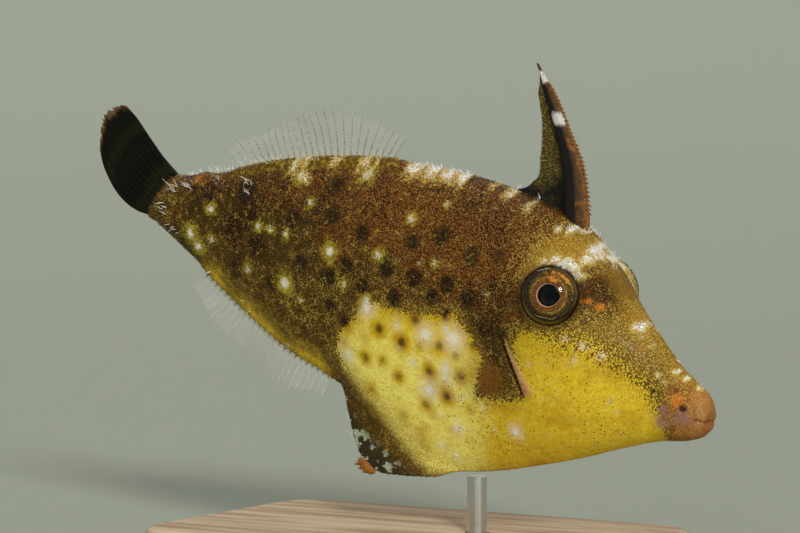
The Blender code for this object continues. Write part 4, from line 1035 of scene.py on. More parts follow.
reaches, heights = np.array(EYE_PROFILE).T
profile_run = run_of(EYE_PROFILE)
read_at = np.linspace(0, profile_run[-1], EYE_RINGS)
globe_heights = hermite(profile_run, heights, read_at)
globe_profile = np.stack([np.interp(read_at, profile_run, reaches), globe_heights], -1)
dome = np.linspace(0, math.pi / 2, 26)
cornea_profile = np.stack([CORNEA_REACH * np.sin(dome), 0.05 + CORNEA_HEIGHT * np.cos(dome)], -1)
cornea_profile = np.concatenate([cornea_profile, [(2.6, -0.05), (0.0, -0.05)]])
for side, label in ((-1, "right"), (1, "left")):
    globe = eye_piece("eyeball_" + label, side, globe_profile, EYE_TURNS, iris_finish, iris_shape)
    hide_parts("eye_" + label)
    cornea = eye_piece("cornea_" + label, side, cornea_profile, CORNEA_TURNS, cornea_finish)
    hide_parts("eye_" + label)

# The first dorsal spine is a long blade of bone, raised, with a row of small thorns down each side of its
# front edge and fine grooves along its flanks. A thin web of stippled skin ties its rear edge to the back.
SPINE_FRONT = [
    (18.55, 11.1), (18.6, 12.6), (19.4, 14.75), (21.15, 18.25), (23.5, 21.0), (26.15, 23.9), (29.2, 26.25),
]
SPINE_REAR = [
    (21.9, 11.1), (21.85, 12.6), (22.5, 15.5), (23.7, 18.45), (25.35, 20.85), (27.15, 23.3), (29.2, 26.25),
]
SPINE_HALF = (1.0, 0.22)  # half its thickness at the root and at the tip
SPINE_STATIONS = 150
SPINE_SIDES = 40
THORNS = 36
THORN_LENGTH = 0.4
THORN_RADIUS = 0.13
WEB_EDGE = [(28.1, 23.4), (26.75, 20.45), (26.0, 17.5), (25.75, 15.8), (26.5, 14.75), (28.4, 13.9)]
WEB_ROWS = 60
WEB_COLUMNS = 30
WEB_HALF = 0.07


def joined(parts):
    """The points, faces and values of several parts, as those of one."""
    faces, start = [], 0
    for part_points, part_faces, _ in parts:
        faces += [tuple(start + corner for corner in face) for face in part_faces]
        start += len(part_points)
    return np.concatenate([part[0] for part in parts]), faces, np.concatenate([part[2] for part in parts])


def tube(path, wide, deep, value, sides=8, across=(0.0, 0.0, 1.0)):
    """A closed tapering tube, wide in its path's plane and deep across it. Value is (first, last, kind)."""
    along = unit(np.gradient(path, axis=0))
    deep_way = unit(across - along * (along @ across)[:, None])
    wide_way = np.cross(along, deep_way)
    count, turn = len(path), 2 * math.pi * np.arange(sides) / sides
    rings = (
        path[:, None] + wide_way[:, None] * (wide[:, None] * np.cos(turn))[..., None]
        + deep_way[:, None] * (deep[:, None] * np.sin(turn))[..., None]
    )
    points = np.concatenate([rings.reshape(-1, 3), path[:1], path[-1:]])
    values = np.full((len(points), 3), float(value[2]))
    progress = np.append(np.repeat(np.linspace(0, 1, count), sides), [0, 1])
    values[:, 0] = value[0] + (value[1] - value[0]) * progress
    return points, ring_faces(count, sides, count * sides, count * sides + 1), values


def sheet(centre, half, values):
    """A thin closed sheet over a grid of points: both faces and its border."""
    rows, columns = centre.shape[:2]
    normal = unit(np.cross(np.gradient(centre, axis=0), np.gradient(centre, axis=1)))
    offset = normal * np.broadcast_to(half, (rows, columns))[..., None]
    points = np.concatenate([(centre + offset).reshape(-1, 3), (centre - offset).reshape(-1, 3)])
    faces, back = [], rows * columns
    for a in (i * columns + j for i in range(rows - 1) for j in range(columns - 1)):
        b, c, d = a + 1, a + columns + 1, a + columns
        faces += [(a, d, c, b), (back + a, back + b, back + c, back + d)]
    index = np.arange(back).reshape(rows, columns)
    border = np.concatenate([index[0], index[1:, -1], index[-1, -2::-1], index[-2:0:-1, 0]]).tolist()
    faces += [(a, b, back + b, back + a) for a, b in zip(border, border[1:] + border[:1])]
    return points, faces, np.tile(values.reshape(-1, 3), (2, 1))


def three_values(first, second, third):
    """Three values for each point of a grid, from arrays that stretch to the same shape."""
    return np.stack(np.broadcast_arrays(first, second, third), -1)


def fin_piece(name, parts, finish, node_name):
    """A piece from joined parts that keeps their values and its places for the finish."""
    points, faces, values = joined(parts)
    mesh = mesh_from(name, points, faces)
    keep_fields(mesh, {"fin": values.T, "level": points.T})
    piece = placed_piece(name, mesh, finish)
    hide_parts(node_name)


spine_shares = np.linspace(0, 0.995, SPINE_STATIONS)[:, None]
front, rear = on_line(SPINE_FRONT, spine_shares[:, 0]), on_line(SPINE_REAR, spine_shares[:, 0])
turn = 2 * math.pi * np.arange(SPINE_SIDES) / SPINE_SIDES
grooves = 1 + 0.05 * np.cos(11 * turn) * np.abs(np.sin(turn))
profile = np.sign(np.sin(turn)) * np.abs(np.sin(turn)) ** 1.2 * grooves
blade = with_third(
    ((front + rear) / 2)[:, None] + ((rear - front) / 2)[:, None] * np.cos(turn)[:, None],
    (SPINE_HALF[0] + (SPINE_HALF[1] - SPINE_HALF[0]) * spine_shares) * profile,
)
blade_points = np.concatenate([blade.reshape(-1, 3), [blade[0].mean(0), (*SPINE_FRONT[-1], 0.0)]])
blade_values = three_values(spine_shares, np.cos(turn), 0.0).reshape(-1, 3)
blade_values = np.concatenate([blade_values, [(0, 0, 0), (1, 0, 0)]])
blade_size = SPINE_STATIONS * SPINE_SIDES
blade_faces = turned_over(ring_faces(SPINE_STATIONS, SPINE_SIDES, blade_size, blade_size + 1))
spine_parts = [(blade_points, blade_faces, blade_values)]
rng = np.random.default_rng(11)
for q in 0.15 + 0.8 * np.arange(THORNS) / (THORNS - 1):
    edge = on_line(SPINE_FRONT, q)
    ahead = unit(edge - on_line(SPINE_REAR, q))
    down = unit(on_line(SPINE_FRONT, q - 0.02) - on_line(SPINE_FRONT, q + 0.02))
    for side in (-1, 1):
        size = (1 - 0.45 * q) * rng.uniform(0.8, 1.15)
        reach = np.linspace(0, THORN_LENGTH * size, 7)[:, None]
        start = np.array([*(edge - ahead * 0.16), side * 0.24 * (1 - 0.5 * q)])
        way = unit(np.array([*(ahead * 0.9 + down * 0.35), side * 0.55]))
        path = start + way * reach + np.array([*down, 0.0]) * 0.5 * reach**2
        taper = THORN_RADIUS * size * np.linspace(1, 0.08, 7)
        spine_parts.append(tube(path, taper, taper * 0.8, (q, q, -1.4), 6, (0.2, 0.1, 0.9)))


def drawn_out(place, scale, turn=(0, 0, 0)):
    """Places scaled differently along each axis, and turned, for noise that runs one way."""
    return Wire(new_node("ShaderNodeMapping", {"Vector": place, "Scale": scale, "Rotation": turn}).outputs[0])


BONE_ORANGE = (0.22, 0.072, 0.006)
BONE_AMBER = (0.32, 0.135, 0.015)
BONE_BROWN = (0.050, 0.022, 0.005)
BONE_BLACK = (0.010, 0.007, 0.005)
BONE_PALE = (0.72, 0.68, 0.60)
THORN_DARK = (0.070, 0.026, 0.008)
bone, shader = new_material("spine_bone")
along_at, across_at = field(shader, "fin")[:2]
place = field(shader, "level")[3]
fibre = noise_at(drawn_out(place, (9.0, 1.2, 6.0), (0, 0, -0.55)), 1.0, 3.0, 0.6)
mottle = noise_at(place, 1.4, 3.0, 0.6)
wandering = along_at + (mottle - 0.5) * 0.05
edge_of_black = across_at + (fibre - 0.5) * 0.7
dull = between(edge_of_black, -0.96, -0.74) * between(mottle, 0.7, 0.52)
black = between(edge_of_black, -0.55, -0.12) * between(wandering, 0.64, 0.6)
behind = between(edge_of_black, -0.2, 0.1) * between(wandering, 0.9, 0.86)
white = within(wandering, 0.61, 0.64, 0.68, 0.71) * between(edge_of_black, -0.92, -0.7)
tip_white = within(wandering, 0.865, 0.885, 0.935, 0.955)
colour = painted(
    blend(between(fibre, 0.35, 0.7), BONE_ORANGE, BONE_AMBER),
    (dull * 0.92, BONE_BROWN),
    (calc("MAXIMUM", black, behind), BONE_BLACK),
    (calc("MAXIMUM", white, tip_white) * 0.85, BONE_PALE),
    (between(wandering, 0.945, 0.96), THORN_DARK),
    (between(across_at, -1.2, -1.3) * between(mottle, 0.3, 0.5), THORN_DARK),
)
finish_with(shader, colour, 0.36 + fibre * 0.3, 0.25, fibre, 0.08)
fin_piece("spine_blade", spine_parts, bone, "dorsal_spine")

rows, columns = np.linspace(0, 1, WEB_ROWS + 1), np.linspace(0, 1, WEB_COLUMNS + 1)
inner, outer = on_line(SPINE_REAR, 0.93 - 0.80 * rows), on_line(WEB_EDGE, rows)
inner = inner - (outer - inner) * 0.12
flat = inner[:, None] + (outer - inner)[:, None] * columns[:, None]
rows = rows[:, None]
drop = on_line(BACK_LINE, share_at(BACK_LINE, flat[-1, :, 0]))[:, 1] - 0.3 - flat[-1, :, 1]
flat[..., 1] += drop * rows**2
folds = np.sin(math.pi * columns) * (0.25 * np.sin(2.5 * rows) + 0.05 * np.sin(14 * rows + 5 * columns))
web = sheet(with_third(flat, folds), WEB_HALF, three_values(rows, columns, 0.0))

WEB_OLIVE = (0.050, 0.034, 0.006)
WEB_GOLD = (0.32, 0.225, 0.036)
WEB_BLACK = (0.008, 0.006, 0.004)
WEB_EDGE_BLUE = (0.40, 0.50, 0.55)
web_finish, shader = new_material("spine_web")
down_at, out_at = field(shader, "fin")[:2]
place = field(shader, "level")[3]
chance, _, off_middle = cells_at(place, 5.6)
patches = noise_at(place, 0.7, 3.0)
dots = between(off_middle, 0.6, 0.15)
root_dark = calc("ADD", between(out_at, 0.45, 0.1), between(down_at, 0.66, 0.92), clamp=True)
colour = painted(
    blend(dots * between(chance, 0.0, 0.7), WEB_OLIVE, WEB_GOLD),
    (calc("ADD", root_dark, (patches - 0.52) * 1.8, clamp=True), WEB_BLACK),
    (between(out_at, 0.94, 0.985) * between(patches, 0.35, 0.5) * 0.8, WEB_EDGE_BLUE),
)
finish_with(shader, colour, 0.4 + chance * 0.2, 0.2, dots, 0.06)
fin_piece("spine_web", [web], web_finish, "spine_membrane")

# The second dorsal fin and the anal fin are rows of thin unbranched rays in a clear membrane. The rays fan
# back from fleshy feet on the body and the fins sway in a slow wave. The small pectoral fins are made
# alike.
LONG_FINS = [
    {
        "piece": "dorsal_rays", "node": "dorsal_fin", "line": BACK_LINE, "up": 1, "root": (42.1, 59.6),
        "rays": 26, "lengths": (2.6, 4.7, 2.8), "lean": (-15, 18, 60), "sway": 13, "waves": 1.6,
    },
    {
        "piece": "anal_rays", "node": "anal_fin", "line": BELLY_LINE, "up": -1, "root": (42.8, 60.2),
        "rays": 25, "lengths": (2.2, 4.0, 2.6), "lean": (0, 10, 42), "sway": -12, "waves": 1.4,
    },
]
FOOT_OUT = 0.3
RAY_START = -0.9  # rays begin this far inside their foot
RAY_HALVES = (0.085, 0.028)
RAY_STEPS = 26
MEMBRANE_HALF = 0.03
BETWEEN_RAYS = 6
MEMBRANE_ROWS = 16
PECTORAL_AT = (21.7, -4.0)
PECTORAL_ROOT = 2.6
PECTORAL_RAYS = 11
PECTORAL_HALVES = (0.045, 0.02)
PECTORAL_LENGTH = 5.4
PECTORAL_OUT = math.radians(24)
PECTORAL_SPREAD = math.radians(28)
PECTORAL_LEAN = math.radians(12)


def three_point(values, share):
    """A value that is given at the front, a third of the way along and at the rear."""
    return hermite([0.0, 0.34, 1.0], values, share)


def long_fin_grid(fin, shares, outs, length_share):
    """Places on a long fin at shares of its root and at distances out, where 1 is a ray's tip."""
    first, last = share_at(fin["line"], fin["root"])
    places = first + (last - first) * shares
    run = unit(on_line(fin["line"], places + 0.004) - on_line(fin["line"], places - 0.004))
    away = np.stack([-run[:, 1], run[:, 0]], -1) * fin["up"]
    foot = on_line(fin["line"], places) + away * FOOT_OUT
    lean = np.radians(three_point(fin["lean"], shares))
    reach = np.stack([np.sin(lean), np.cos(lean) * fin["up"]], -1)
    sway = math.radians(fin["sway"]) * np.sin(2 * math.pi * fin["waves"] * shares + 0.6) * outs
    out = three_point(fin["lengths"], shares) * length_share * outs
    return with_third(foot + reach * (out * np.cos(sway))[..., None], out * np.sin(sway))


def rays_and_membrane(place, rays, tips, halves, solid=1.0, short=0.93, notch=0.05):
    """A fin's tapering rays and the scalloped membrane between them. Place gives the grid."""
    parts = []
    starts = np.concatenate([[RAY_START / 4, RAY_START / 8], np.linspace(0, 1, RAY_STEPS)])
    joints = 1 + 0.06 * np.cos(np.linspace(0, 26 * math.pi, len(starts)))
    wide = (halves[0] + (halves[1] - halves[0]) * np.clip(starts, 0, 1) ** 0.8) * joints
    for k in range(rays):
        path = place(np.array([k / (rays - 1)]), starts[:, None], tips[k])[:, 0]
        parts.append(tube(path, wide, wide * 1.15, (0, 1, solid)))
    shares = np.linspace(0, 1, (rays - 1) * BETWEEN_RAYS + 1)
    along = shares * (rays - 1)
    scallop = short - notch * np.sin(math.pi * (along % 1.0)) ** 0.7
    rows = np.linspace(-0.12, 1, MEMBRANE_ROWS + 1)[:, None]
    grid = place(shares, rows, np.interp(along, np.arange(rays), tips) * scallop)
    parts.append(sheet(grid, MEMBRANE_HALF, three_values(rows, shares, 0.0)))
    return parts


RAY_OLIVE = (0.12, 0.11, 0.065)
RAY_PALE = (0.60, 0.60, 0.52)
RAY_GOLD = (0.40, 0.26, 0.06)
ROOT_BROWN = (0.085, 0.034, 0.005)
MEMBRANE_TINT = (0.60, 0.60, 0.52)
fin_finish, shader = new_material("clear_fin")
out_at, _, is_ray, _ = field(shader, "fin")
back_at, height_at, _, place = field(shader, "level")
patches = noise_at(place, 0.8, 3.0, 0.6)
grain = noise_at(place, 9.0, 2.0)
paler = calc("ADD", between(grain, 0.35, 0.65), between(height_at, 7.0, 4.0), clamp=True)
on_long_fins = between(back_at, 30.0, 36.0)
at_pectoral_root = between(out_at, 0.75, 0.25) * (1.0 - on_long_fins)
ray_colour = blend(between(out_at, 0.0, 0.3), RAY_GOLD, blend(paler, RAY_OLIVE, RAY_PALE))
colour = blend(at_pectoral_root, blend(is_ray, MEMBRANE_TINT, ray_colour), ROOT_BROWN)
film = (between(patches, 0.35, 0.75) * 0.1 + 0.04) * (0.4 + on_long_fins * 0.6)
film = film + between(out_at, 0.25, 0.0) * 0.2 * on_long_fins
feed(shader.inputs["Alpha"], calc("ADD", film, is_ray * 0.75, clamp=True))
finish_with(shader, colour, 0.28 + grain * 0.2)
rng = np.random.default_rng(23)
for fin in LONG_FINS:
    tips = 1.0 + rng.uniform(-0.05, 0.03, fin["rays"])
    parts = rays_and_membrane(lambda *places: long_fin_grid(fin, *places), fin["rays"], tips, RAY_HALVES)
    fin_piece(fin["piece"], parts, fin_finish, fin["node"])


def flank_y(at_s, at_h):
    """How far out the skin lies at a place of the flank."""
    near_it = np.argmin((skin[..., 0] - at_s) ** 2 + (skin[..., 1] - at_h) ** 2 + 9e9 * (skin[..., 2] < 0.5))
    return skin[..., 2].flat[near_it]


def pectoral_grid(side, shares, outs, length_share):
    """Places on a pectoral fin: a small fan that stands out and back from the flank."""
    across = 2 * shares - 1
    root_s = PECTORAL_AT[0] + 0.25 * across * PECTORAL_ROOT / 2
    root_h = PECTORAL_AT[1] + across * PECTORAL_ROOT / 2
    root_y = np.array([flank_y(a, b) for a, b in zip(root_s, root_h)]) + 0.3
    angle = -PECTORAL_LEAN + PECTORAL_SPREAD * across
    out = PECTORAL_LENGTH * (1 - 0.25 * across**2) * length_share * outs
    flat = math.cos(PECTORAL_OUT) * out
    deep = side * (root_y + math.sin(PECTORAL_OUT) * out - 0.35 * outs**2)
    return np.stack([root_s + flat * np.cos(angle), root_h + flat * np.sin(angle), deep], -1)


for side, label in ((-1, "right"), (1, "left")):
    tips = 1.0 + rng.uniform(-0.05, 0.02, PECTORAL_RAYS)
    parts = rays_and_membrane(
        lambda *places: pectoral_grid(side, *places), PECTORAL_RAYS, tips, PECTORAL_HALVES, 0.12, 0.95, 0.03
    )
    fin_piece("pectoral_rays_" + label, parts, fin_finish, "pectoral_fin_" + label)

# The tail fin is a half-closed fan of branched rays in a near-black membrane, bent a little to the fish's
# left. It has olive bars across and a thin, torn, brown margin.
TAIL_UPPER = [(66.85, 1.5), (68.8, 2.4), (72.05, 4.05), (75.65, 5.8), (78.95, 6.6)]
TAIL_LOWER = [(68.7, -3.4), (71.15, -3.5), (74.05, -2.8), (77.0, -1.15), (80.1, 1.8)]
TAIL_RAYS = 12
TAIL_BEND = 1.6
TAIL_ROOT_HALF = 0.8
TAIL_EDGE_HALF = 0.035
TAIL_ROWS = 100
TAIL_COLUMNS = 216
TAIL_TEARS = 61

rng = np.random.default_rng(31)
shares = np.linspace(0, 1, TAIL_COLUMNS + 1)
across = 2 * shares - 1
outs = np.linspace(-0.06, 1, TAIL_ROWS + 1)[:, None]
open_out = np.clip(outs, 0, 1)
in_ray = shares * TAIL_RAYS - np.clip(np.floor(shares * TAIL_RAYS), 0, TAIL_RAYS - 1) - 0.5
width = 0.20 - 0.12 * smooth_step(outs, 0.2, 0.9)
ridge = np.zeros((TAIL_ROWS + 1, TAIL_COLUMNS + 1))
for first_fork, second_fork in ((-1, -1), (-1, 1), (1, -1), (1, 1)):
    offset = 0.25 * first_fork * smooth_step(outs, 0.22, 0.6)
    offset = offset + 0.125 * second_fork * smooth_step(outs, 0.58, 0.95)
    ridge = np.maximum(ridge, bell(in_ray - offset, width))
tears = np.interp(shares, np.linspace(0, 1, TAIL_TEARS), rng.uniform(0, 1, TAIL_TEARS) ** 2.5)
reach = open_out * (1 - 0.11 * across**2) * (1.0 - 0.035 * (1 - ridge[-1]) - 0.05 * tears)
low, high = on_line(TAIL_LOWER, reach), on_line(TAIL_UPPER, reach)
flat = low + (high - low) * shares[:, None]
flat[..., 0] += np.minimum(outs, 0) * 12
pleat = 0.05 * (ridge - 0.5) * open_out
ripple = 0.12 * np.sin(7 * shares + 0.6) * open_out**2
root_half = TAIL_ROOT_HALF * (1 - 0.35 * across**2)
thick = TAIL_EDGE_HALF + (root_half - TAIL_EDGE_HALF) * (1 - open_out**0.5)
thick = thick + 0.085 * ridge * (1 - 0.55 * open_out)
thick = thick * (1 + 0.12 * ridge * np.sin(150 * open_out))
tail_grid = with_third(flat, TAIL_BEND * open_out**2 + ripple + pleat)
fan = sheet(tail_grid, thick, three_values(open_out, shares, ridge))

TAIL_BLACK = (0.003, 0.003, 0.002)
TAIL_OLIVE = (0.017, 0.016, 0.004)
TAIL_RAY = (0.009, 0.008, 0.004)
TAIL_AMBER = (0.20, 0.095, 0.025)
tail_finish, shader = new_material("dark_tail")
out_at, _, ray_at, _ = field(shader, "fin")
place = field(shader, "level")[3]
patches = noise_at(place, 0.55, 3.0, 0.6)
grain = noise_at(place, 7.0, 3.0, 0.6)
drifting = out_at + (patches - 0.5) * 0.22
bars = calc("MAXIMUM", within(drifting, 0.04, 0.09, 0.2, 0.27), within(drifting, 0.58, 0.62, 0.7, 0.78))
margin = between(drifting, 0.9, 0.99)
colour = painted(
    blend(ray_at * 0.7, TAIL_BLACK, TAIL_RAY),
    (bars * between(grain, 0.35, 0.6) * 0.75, TAIL_OLIVE),
    (margin * 0.8, TAIL_AMBER),
)
feed(shader.inputs["Alpha"], 1.0 - margin * 0.35)
finish_with(shader, colour, 0.35 + grain * 0.25, 0.08, grain, 0.04)
fin_piece("tail_fan", [fan], tail_finish, "caudal_fin")

# The pelvis ends in a small barbed scute of bone at the flap's corner.
SCUTE_SHARE = 0.60
SCUTE_LENGTH = 2.4
SCUTE_HALF = 0.55
SCUTE_OUT = 0.3
SCUTE_STEPS = 40
BARBS = 6  # in each of three rows
BARB_LENGTH = 0.42
along = unit(on_line(FLAP_EDGE, SCUTE_SHARE + 0.02) - on_line(FLAP_EDGE, SCUTE_SHARE - 0.02))
under = np.array([along[1], -along[0]])
scute_middle = on_line(FLAP_EDGE, SCUTE_SHARE) + under * SCUTE_OUT
steps = np.linspace(-1, 1, SCUTE_STEPS)
path = scute_middle + along * steps[:, None] * SCUTE_LENGTH / 2 - under * 0.1 * steps[:, None] ** 2
swell = np.sqrt(np.clip(1 - steps**2, 0.0004, 1)) * SCUTE_HALF * (1 + 0.06 * np.cos(18 * steps))
scute_parts = [tube(with_third(path, 0 * steps), swell, swell * 0.9, (0.3, 0.45, -1.0), 28)]
barb_taper = 0.11 * np.linspace(1, 0.1, 6)
for place_along in (-0.45, 0.05, 0.55):
    for turn in np.radians(-80 + 160 * np.arange(BARBS) / (BARBS - 1)):
        side_way = np.array([*(under * math.cos(turn)), math.sin(turn)])
        start = np.array([*(scute_middle + along * place_along * SCUTE_LENGTH / 2), 0])
        start = start + side_way * SCUTE_HALF * 0.8 * math.sqrt(1 - place_along**2)
        path = start + (side_way + np.array([*along, 0]) * 1.1) * np.linspace(0, BARB_LENGTH, 6)[:, None]
        scute_parts.append(tube(path, barb_taper, barb_taper, (0.5, 0.5, -1.1), 6, (0.3, 0.2, 0.9)))
fin_piece("pelvic_scute", scute_parts, bone, "pelvic_spine")

# The skin's coat: short prickles all over the velvet hide, lean back towards the tail, and longer chalk-white
# cirri along the back, at the spine's foot, over the eyes, on the tail root and along the flap's edge.
PRICKLES = 12500
PRICKLE_LENGTH = (0.10, 0.24)
PRICKLE_RADIUS = 0.045
CIRRUS_RADIUS = 0.045
PATCH = 0.003  # the width of a hair's own patch on the map
BARE_ROUND_EYE = 3.05
FAR_OFF = 1e6
CIRRI = [  # (s, h, side, how many, length, spread), where side 0 is the crest of the back
    (33.4, 13.2, 0, 9, 0.6, 0.7), (34.9, 13.1, 0, 8, 0.5, 0.7), (36.4, 13.0, 0, 7, 0.55, 0.7),
    (32.0, 13.3, 0, 3, 0.5, 0.6), (38.4, 12.6, 0, 9, 0.5, 1.0), (29.6, 13.4, 0, 4, 0.4, 0.5),
    (27.4, 13.5, 0, 7, 0.6, 0.35), (30.8, 13.4, 0, 3, 0.4, 0.5), (24.8, 13.4, 0, 8, 0.6, 0.5),
    (24.6, 12.8, -1, 5, 0.5, 0.5), (19.4, 12.2, -1, 9, 0.7, 0.5), (18.6, 12.1, -1, 9, 0.7, 0.4),
    (20.4, 12.1, -1, 7, 0.6, 0.5), (19.4, 12.2, 1, 9, 0.7, 0.5), (18.6, 12.1, 1, 9, 0.7, 0.4),
    (20.4, 12.1, 1, 7, 0.6, 0.5), (14.7, 9.8, 0, 3, 0.9, 0.2), (15.3, 10.2, 0, 2, 0.8, 0.15),
    (17.0, 9.4, -1, 5, 0.4, 0.5), (16.0, 8.7, -1, 4, 0.4, 0.4), (17.2, 9.7, 1, 6, 0.9, 0.35),
    (15.8, 9.2, 1, 4, 0.7, 0.4), (41.4, 12.2, 0, 4, 0.5, 0.7), (51.4, 8.4, 0, 5, 0.5, 0.8),
    (55.6, 7.0, 0, 7, 0.9, 1.2), (57.6, 6.0, 0, 9, 1.1, 1.2), (60.2, 4.8, 0, 10, 1.2, 1.3),
    (62.0, 3.7, 0, 8, 1.0, 0.8), (63.8, 2.9, 0, 8, 0.9, 0.8), (65.4, 2.1, 0, 7, 0.8, 0.7),
    (57.2, 4.4, -1, 6, 1.0, 0.5), (56.6, 3.4, -1, 4, 0.9, 0.4), (61.4, 3.2, -1, 5, 0.7, 0.8),
    (64.4, 1.4, -1, 8, 0.9, 0.8), (66.0, 0.6, -1, 8, 0.9, 0.8), (66.6, -1.6, -1, 7, 0.8, 0.9),
    (65.0, -3.6, -1, 6, 0.6, 0.8), (58.6, 3.6, 1, 6, 0.9, 1.0), (65.0, 0.6, 1, 9, 0.9, 1.2),
    (60.0, -6.4, -1, 3, 0.5, 0.8), (54.0, -8.4, -1, 4, 0.4, 1.2), (48.0, -10.4, -1, 4, 0.4, 1.2),
    (39.9, -13.2, -1, 5, 0.4, 0.6), (39.0, -15.2, -1, 5, 0.4, 0.5), (38.2, -16.4, -1, 5, 0.4, 0.5),
    (37.2, -17.6, -1, 6, 0.4, 0.5), (36.0, -18.4, -1, 5, 0.35, 0.5), (43.6, 11.4, -1, 4, 0.35, 0.6),
    (9.6, 5.6, -1, 3, 0.3, 0.3), (33.0, 10.2, -1, 2, 0.35, 0.3),
]


def coat_piece(name, tip_share, roots, ways, lengths, bends, radii, white, sides, rows):
    """One mesh of tapering hairs that stand on skin vertices and take over their fields and their map places.

    Their finish has the hide's colours at the root, and turns to chalk white at the tips of the white hairs.
    """
    count, rise = len(roots), np.linspace(0, 1, rows)
    around = 2 * math.pi * np.arange(sides) / sides
    side_way = unit(np.cross(ways, (0.31, 0.22, 0.93)))
    other_way = np.cross(ways, side_way)
    middles = skin_flat[roots][:, None] + ways[:, None] * (lengths[:, None] * (rise - 0.12))[..., None]
    middles = middles + bends[:, None] * (lengths[:, None] * rise**2)[..., None]
    taper = radii[:, None] * (1 - rise[:-1]) ** 0.8
    ring = side_way[:, None] * np.cos(around)[:, None] + other_way[:, None] * np.sin(around)[:, None]
    body = middles[:, :-1, None] + ring[:, None] * taper[:, :, None, None]
    points = np.concatenate([body.reshape(count, -1, 3), middles[:, -1:]], 1).reshape(-1, 3)
    per_hair = (rows - 1) * sides + 1
    hair_faces = ring_faces(rows - 1, sides, last=per_hair - 1)
    starts = range(0, count * per_hair, per_hair)
    faces = [tuple(start + corner for corner in face) for start in starts for face in hair_faces]
    mesh = mesh_from(name, points, faces)
    owner = np.repeat(roots, per_hair)
    up_hair = np.append(np.repeat(rise[:-1], sides), 1.0)
    chances = rng.uniform(0, 1, count)
    kept = {key: [part[owner] for part in parts] for key, parts in fields.items()}
    kept["coat"] = (np.tile(up_hair, count), np.repeat(white, per_hair), np.repeat(chances, per_hair))
    keep_fields(mesh, kept)
    spread_u = np.append(np.tile(np.cos(around), rows - 1), 0.0) * PATCH / 2
    spread_v = (up_hair - 0.5) * PATCH
    corner = np.concatenate(faces)
    row, column = np.divmod(owner[corner], ring_size)
    keep_map(mesh, row_u[row] + spread_u[corner % per_hair], column / ring_size + spread_v[corner % per_hair])

    finish, shader = new_material(name)
    up_at, white_at, chance_at, _ = field(shader, "coat")
    whitened = calc("MAXIMUM", between(up_at, 0.0, 0.5) * white_at, white_at * 0.6)
    colour = painted(fish_looks(shader)["Color"], (up_at * tip_share, GOLD_GRAIN), (whitened, CHALK))
    finish_with(shader, colour, 0.35 + chance_at * 0.2, 0.25)
    placed_piece(name, mesh, finish)


skin_normals = grid_normals(skin).reshape(-1, 3)
skin_flat = skin.reshape(-1, 3)
off_eye = eye_reach.ravel()
rng = np.random.default_rng(47)
around_step = np.linalg.norm(np.roll(skin, -1, axis=1) - skin, axis=2)
along_step = np.linalg.norm(np.gradient(skin, axis=0), axis=2)
density = (around_step * along_step).ravel()
density *= (off_eye > BARE_ROUND_EYE) * (gill_slit.ravel() < 0.2) * smooth_step(skin_flat[:, 0], 1.5, 5.0)
density *= 1 - 0.6 * smooth_step(fields["zones"][0][:-2], 0.2, 1.0)
roots = rng.choice(len(skin_flat), PRICKLES, replace=False, p=density / density.sum())
ways = unit(skin_normals[roots] + np.array([0.55, 0.0, 0.0]) + rng.normal(0, 0.12, (PRICKLES, 3)))
lengths = rng.uniform(*PRICKLE_LENGTH, PRICKLES)
bends = np.tile([0.2, 0.0, 0.0], (PRICKLES, 1))
radii = PRICKLE_RADIUS * rng.uniform(0.7, 1.2, PRICKLES)
frosty = smooth_step(fields["marks"][1][roots] + 0.8 * fields["spots"][2][roots], 0.25, 0.7) * 0.8
coat_piece("hide_prickles", 0.35, roots, ways, lengths, bends, radii, frosty, 3, 3)


def away_from(at_s, at_h, side, flatness=1.0):
    """How far each point of the skin is from a place, and much more on the wrong side or round an eye."""
    far = (skin_flat[:, 0] - at_s) ** 2 + (skin_flat[:, 1] - at_h) ** 2 * flatness
    off_side = (skin_flat[:, 2] * side < 0) if side else (off_crest > 4)
    return far + FAR_OFF * off_side + FAR_OFF * (off_eye < BARE_ROUND_EYE)


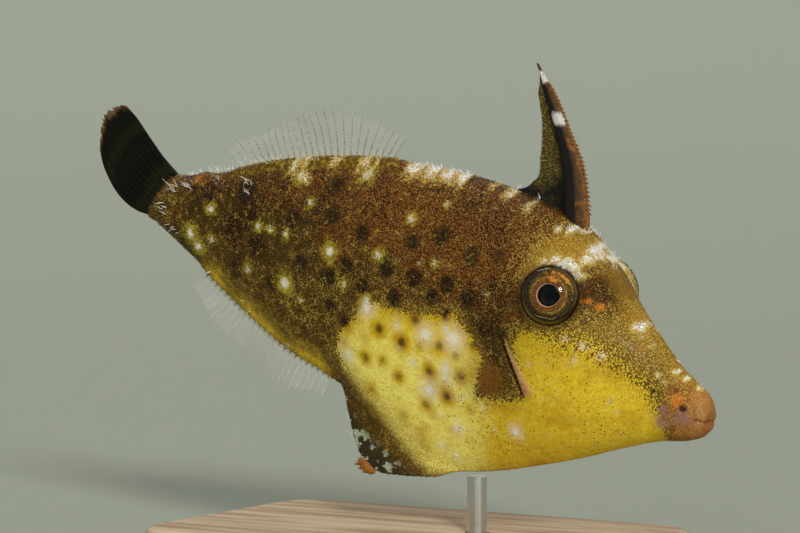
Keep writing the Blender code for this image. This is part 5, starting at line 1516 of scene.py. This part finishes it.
crest = np.minimum(np.arange(ring_size), ring_size - np.arange(ring_size))
off_crest = np.tile(crest, len(skin))
roots, lengths = [], []
for cirrus_s, cirrus_h, side, count, length, spread in CIRRI:
    for _ in range(count):
        at_s, at_h = cirrus_s + rng.normal(0, spread / 2), cirrus_h + rng.normal(0, spread / 3)
        far = away_from(at_s, at_h, side, 1 if side else 0.05)
        roots.append(np.argmin(far + 0.02 * rng.uniform(0, 1, len(far))))
        lengths.append(length * rng.uniform(0.55, 1.15))
for spots, count in ((PALE_SPOTS, 2), (FROST, 3)):
    for k, (*place, _, _) in enumerate(spots):
        for side in (-1, 1):
            at_s, at_h = drifted(place, k, side)
            for _ in range(count):
                far = away_from(at_s + rng.normal(0, 0.18), at_h + rng.normal(0, 0.18), side)
                roots.append(np.argmin(far))
                lengths.append(rng.uniform(0.16, 0.32))
roots, lengths = np.array(roots), np.array(lengths)
ways = unit(skin_normals[roots] + np.array([0.25, 0.1, 0.0]) + rng.normal(0, 0.28, (len(roots), 3)))
bends = rng.normal(0, 0.25, (len(roots), 3)) + np.array([0.25, 0, 0])
radii = CIRRUS_RADIUS * rng.uniform(0.7, 1.15, len(roots)) * np.clip(lengths / 0.5, 0.8, 1.1)
coat_piece("white_cirri", 0.0, roots, ways, lengths, bends, radii, np.full(len(roots), 0.95), 5, 7)

# The stand is a pale wooden base with a soft edge and a brushed steel rod under the belly. Both keep the
# solids' own shape and get a finish of their own.
WOOD_PALE = (0.62, 0.47, 0.31)
WOOD_DARK = (0.36, 0.23, 0.13)
STEEL = (0.62, 0.62, 0.60)
STEEL_BRIGHT = (0.74, 0.74, 0.72)


def own_place(shader):
    """The places of a solid in its own frame, for its finish."""
    return Wire(shader.id_data.nodes.new("ShaderNodeTexCoord").outputs["Object"])


wood, shader = new_material("stand_wood_grain")
place = own_place(shader)
rings = noise_at(drawn_out(place, (40.0, 420.0, 260.0)), 1.0, 4.0, 0.6)
pore = noise_at(drawn_out(place, (350.0, 5200.0, 3000.0)), 1.0, 2.0)
grain_colour = blend(between(rings, 0.35, 0.68), WOOD_PALE, WOOD_DARK)
colour = blend(between(pore, 0.58, 0.72) * 0.5, grain_colour, WOOD_DARK)
finish_with(shader, colour, 0.62 + pore * 0.25, 0.2, rings + pore, 0.05)

steel, shader = new_material("stand_steel_brushed")
brushed = noise_at(drawn_out(own_place(shader), (400.0, 400.0, 9000.0)), 1.0, 3.0)
finish_with(shader, blend(brushed, STEEL, STEEL_BRIGHT), 0.22 + brushed * 0.22, relief=brushed, depth=0.01)
shader.inputs["Metallic"].default_value = 1.0
for node_name, finish in (("stand_base", wood), ("stand_rod", steel)):
    for material_slot in frame["nodes"][node_name].material_slots:
        material_slot.material = finish

low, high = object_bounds()
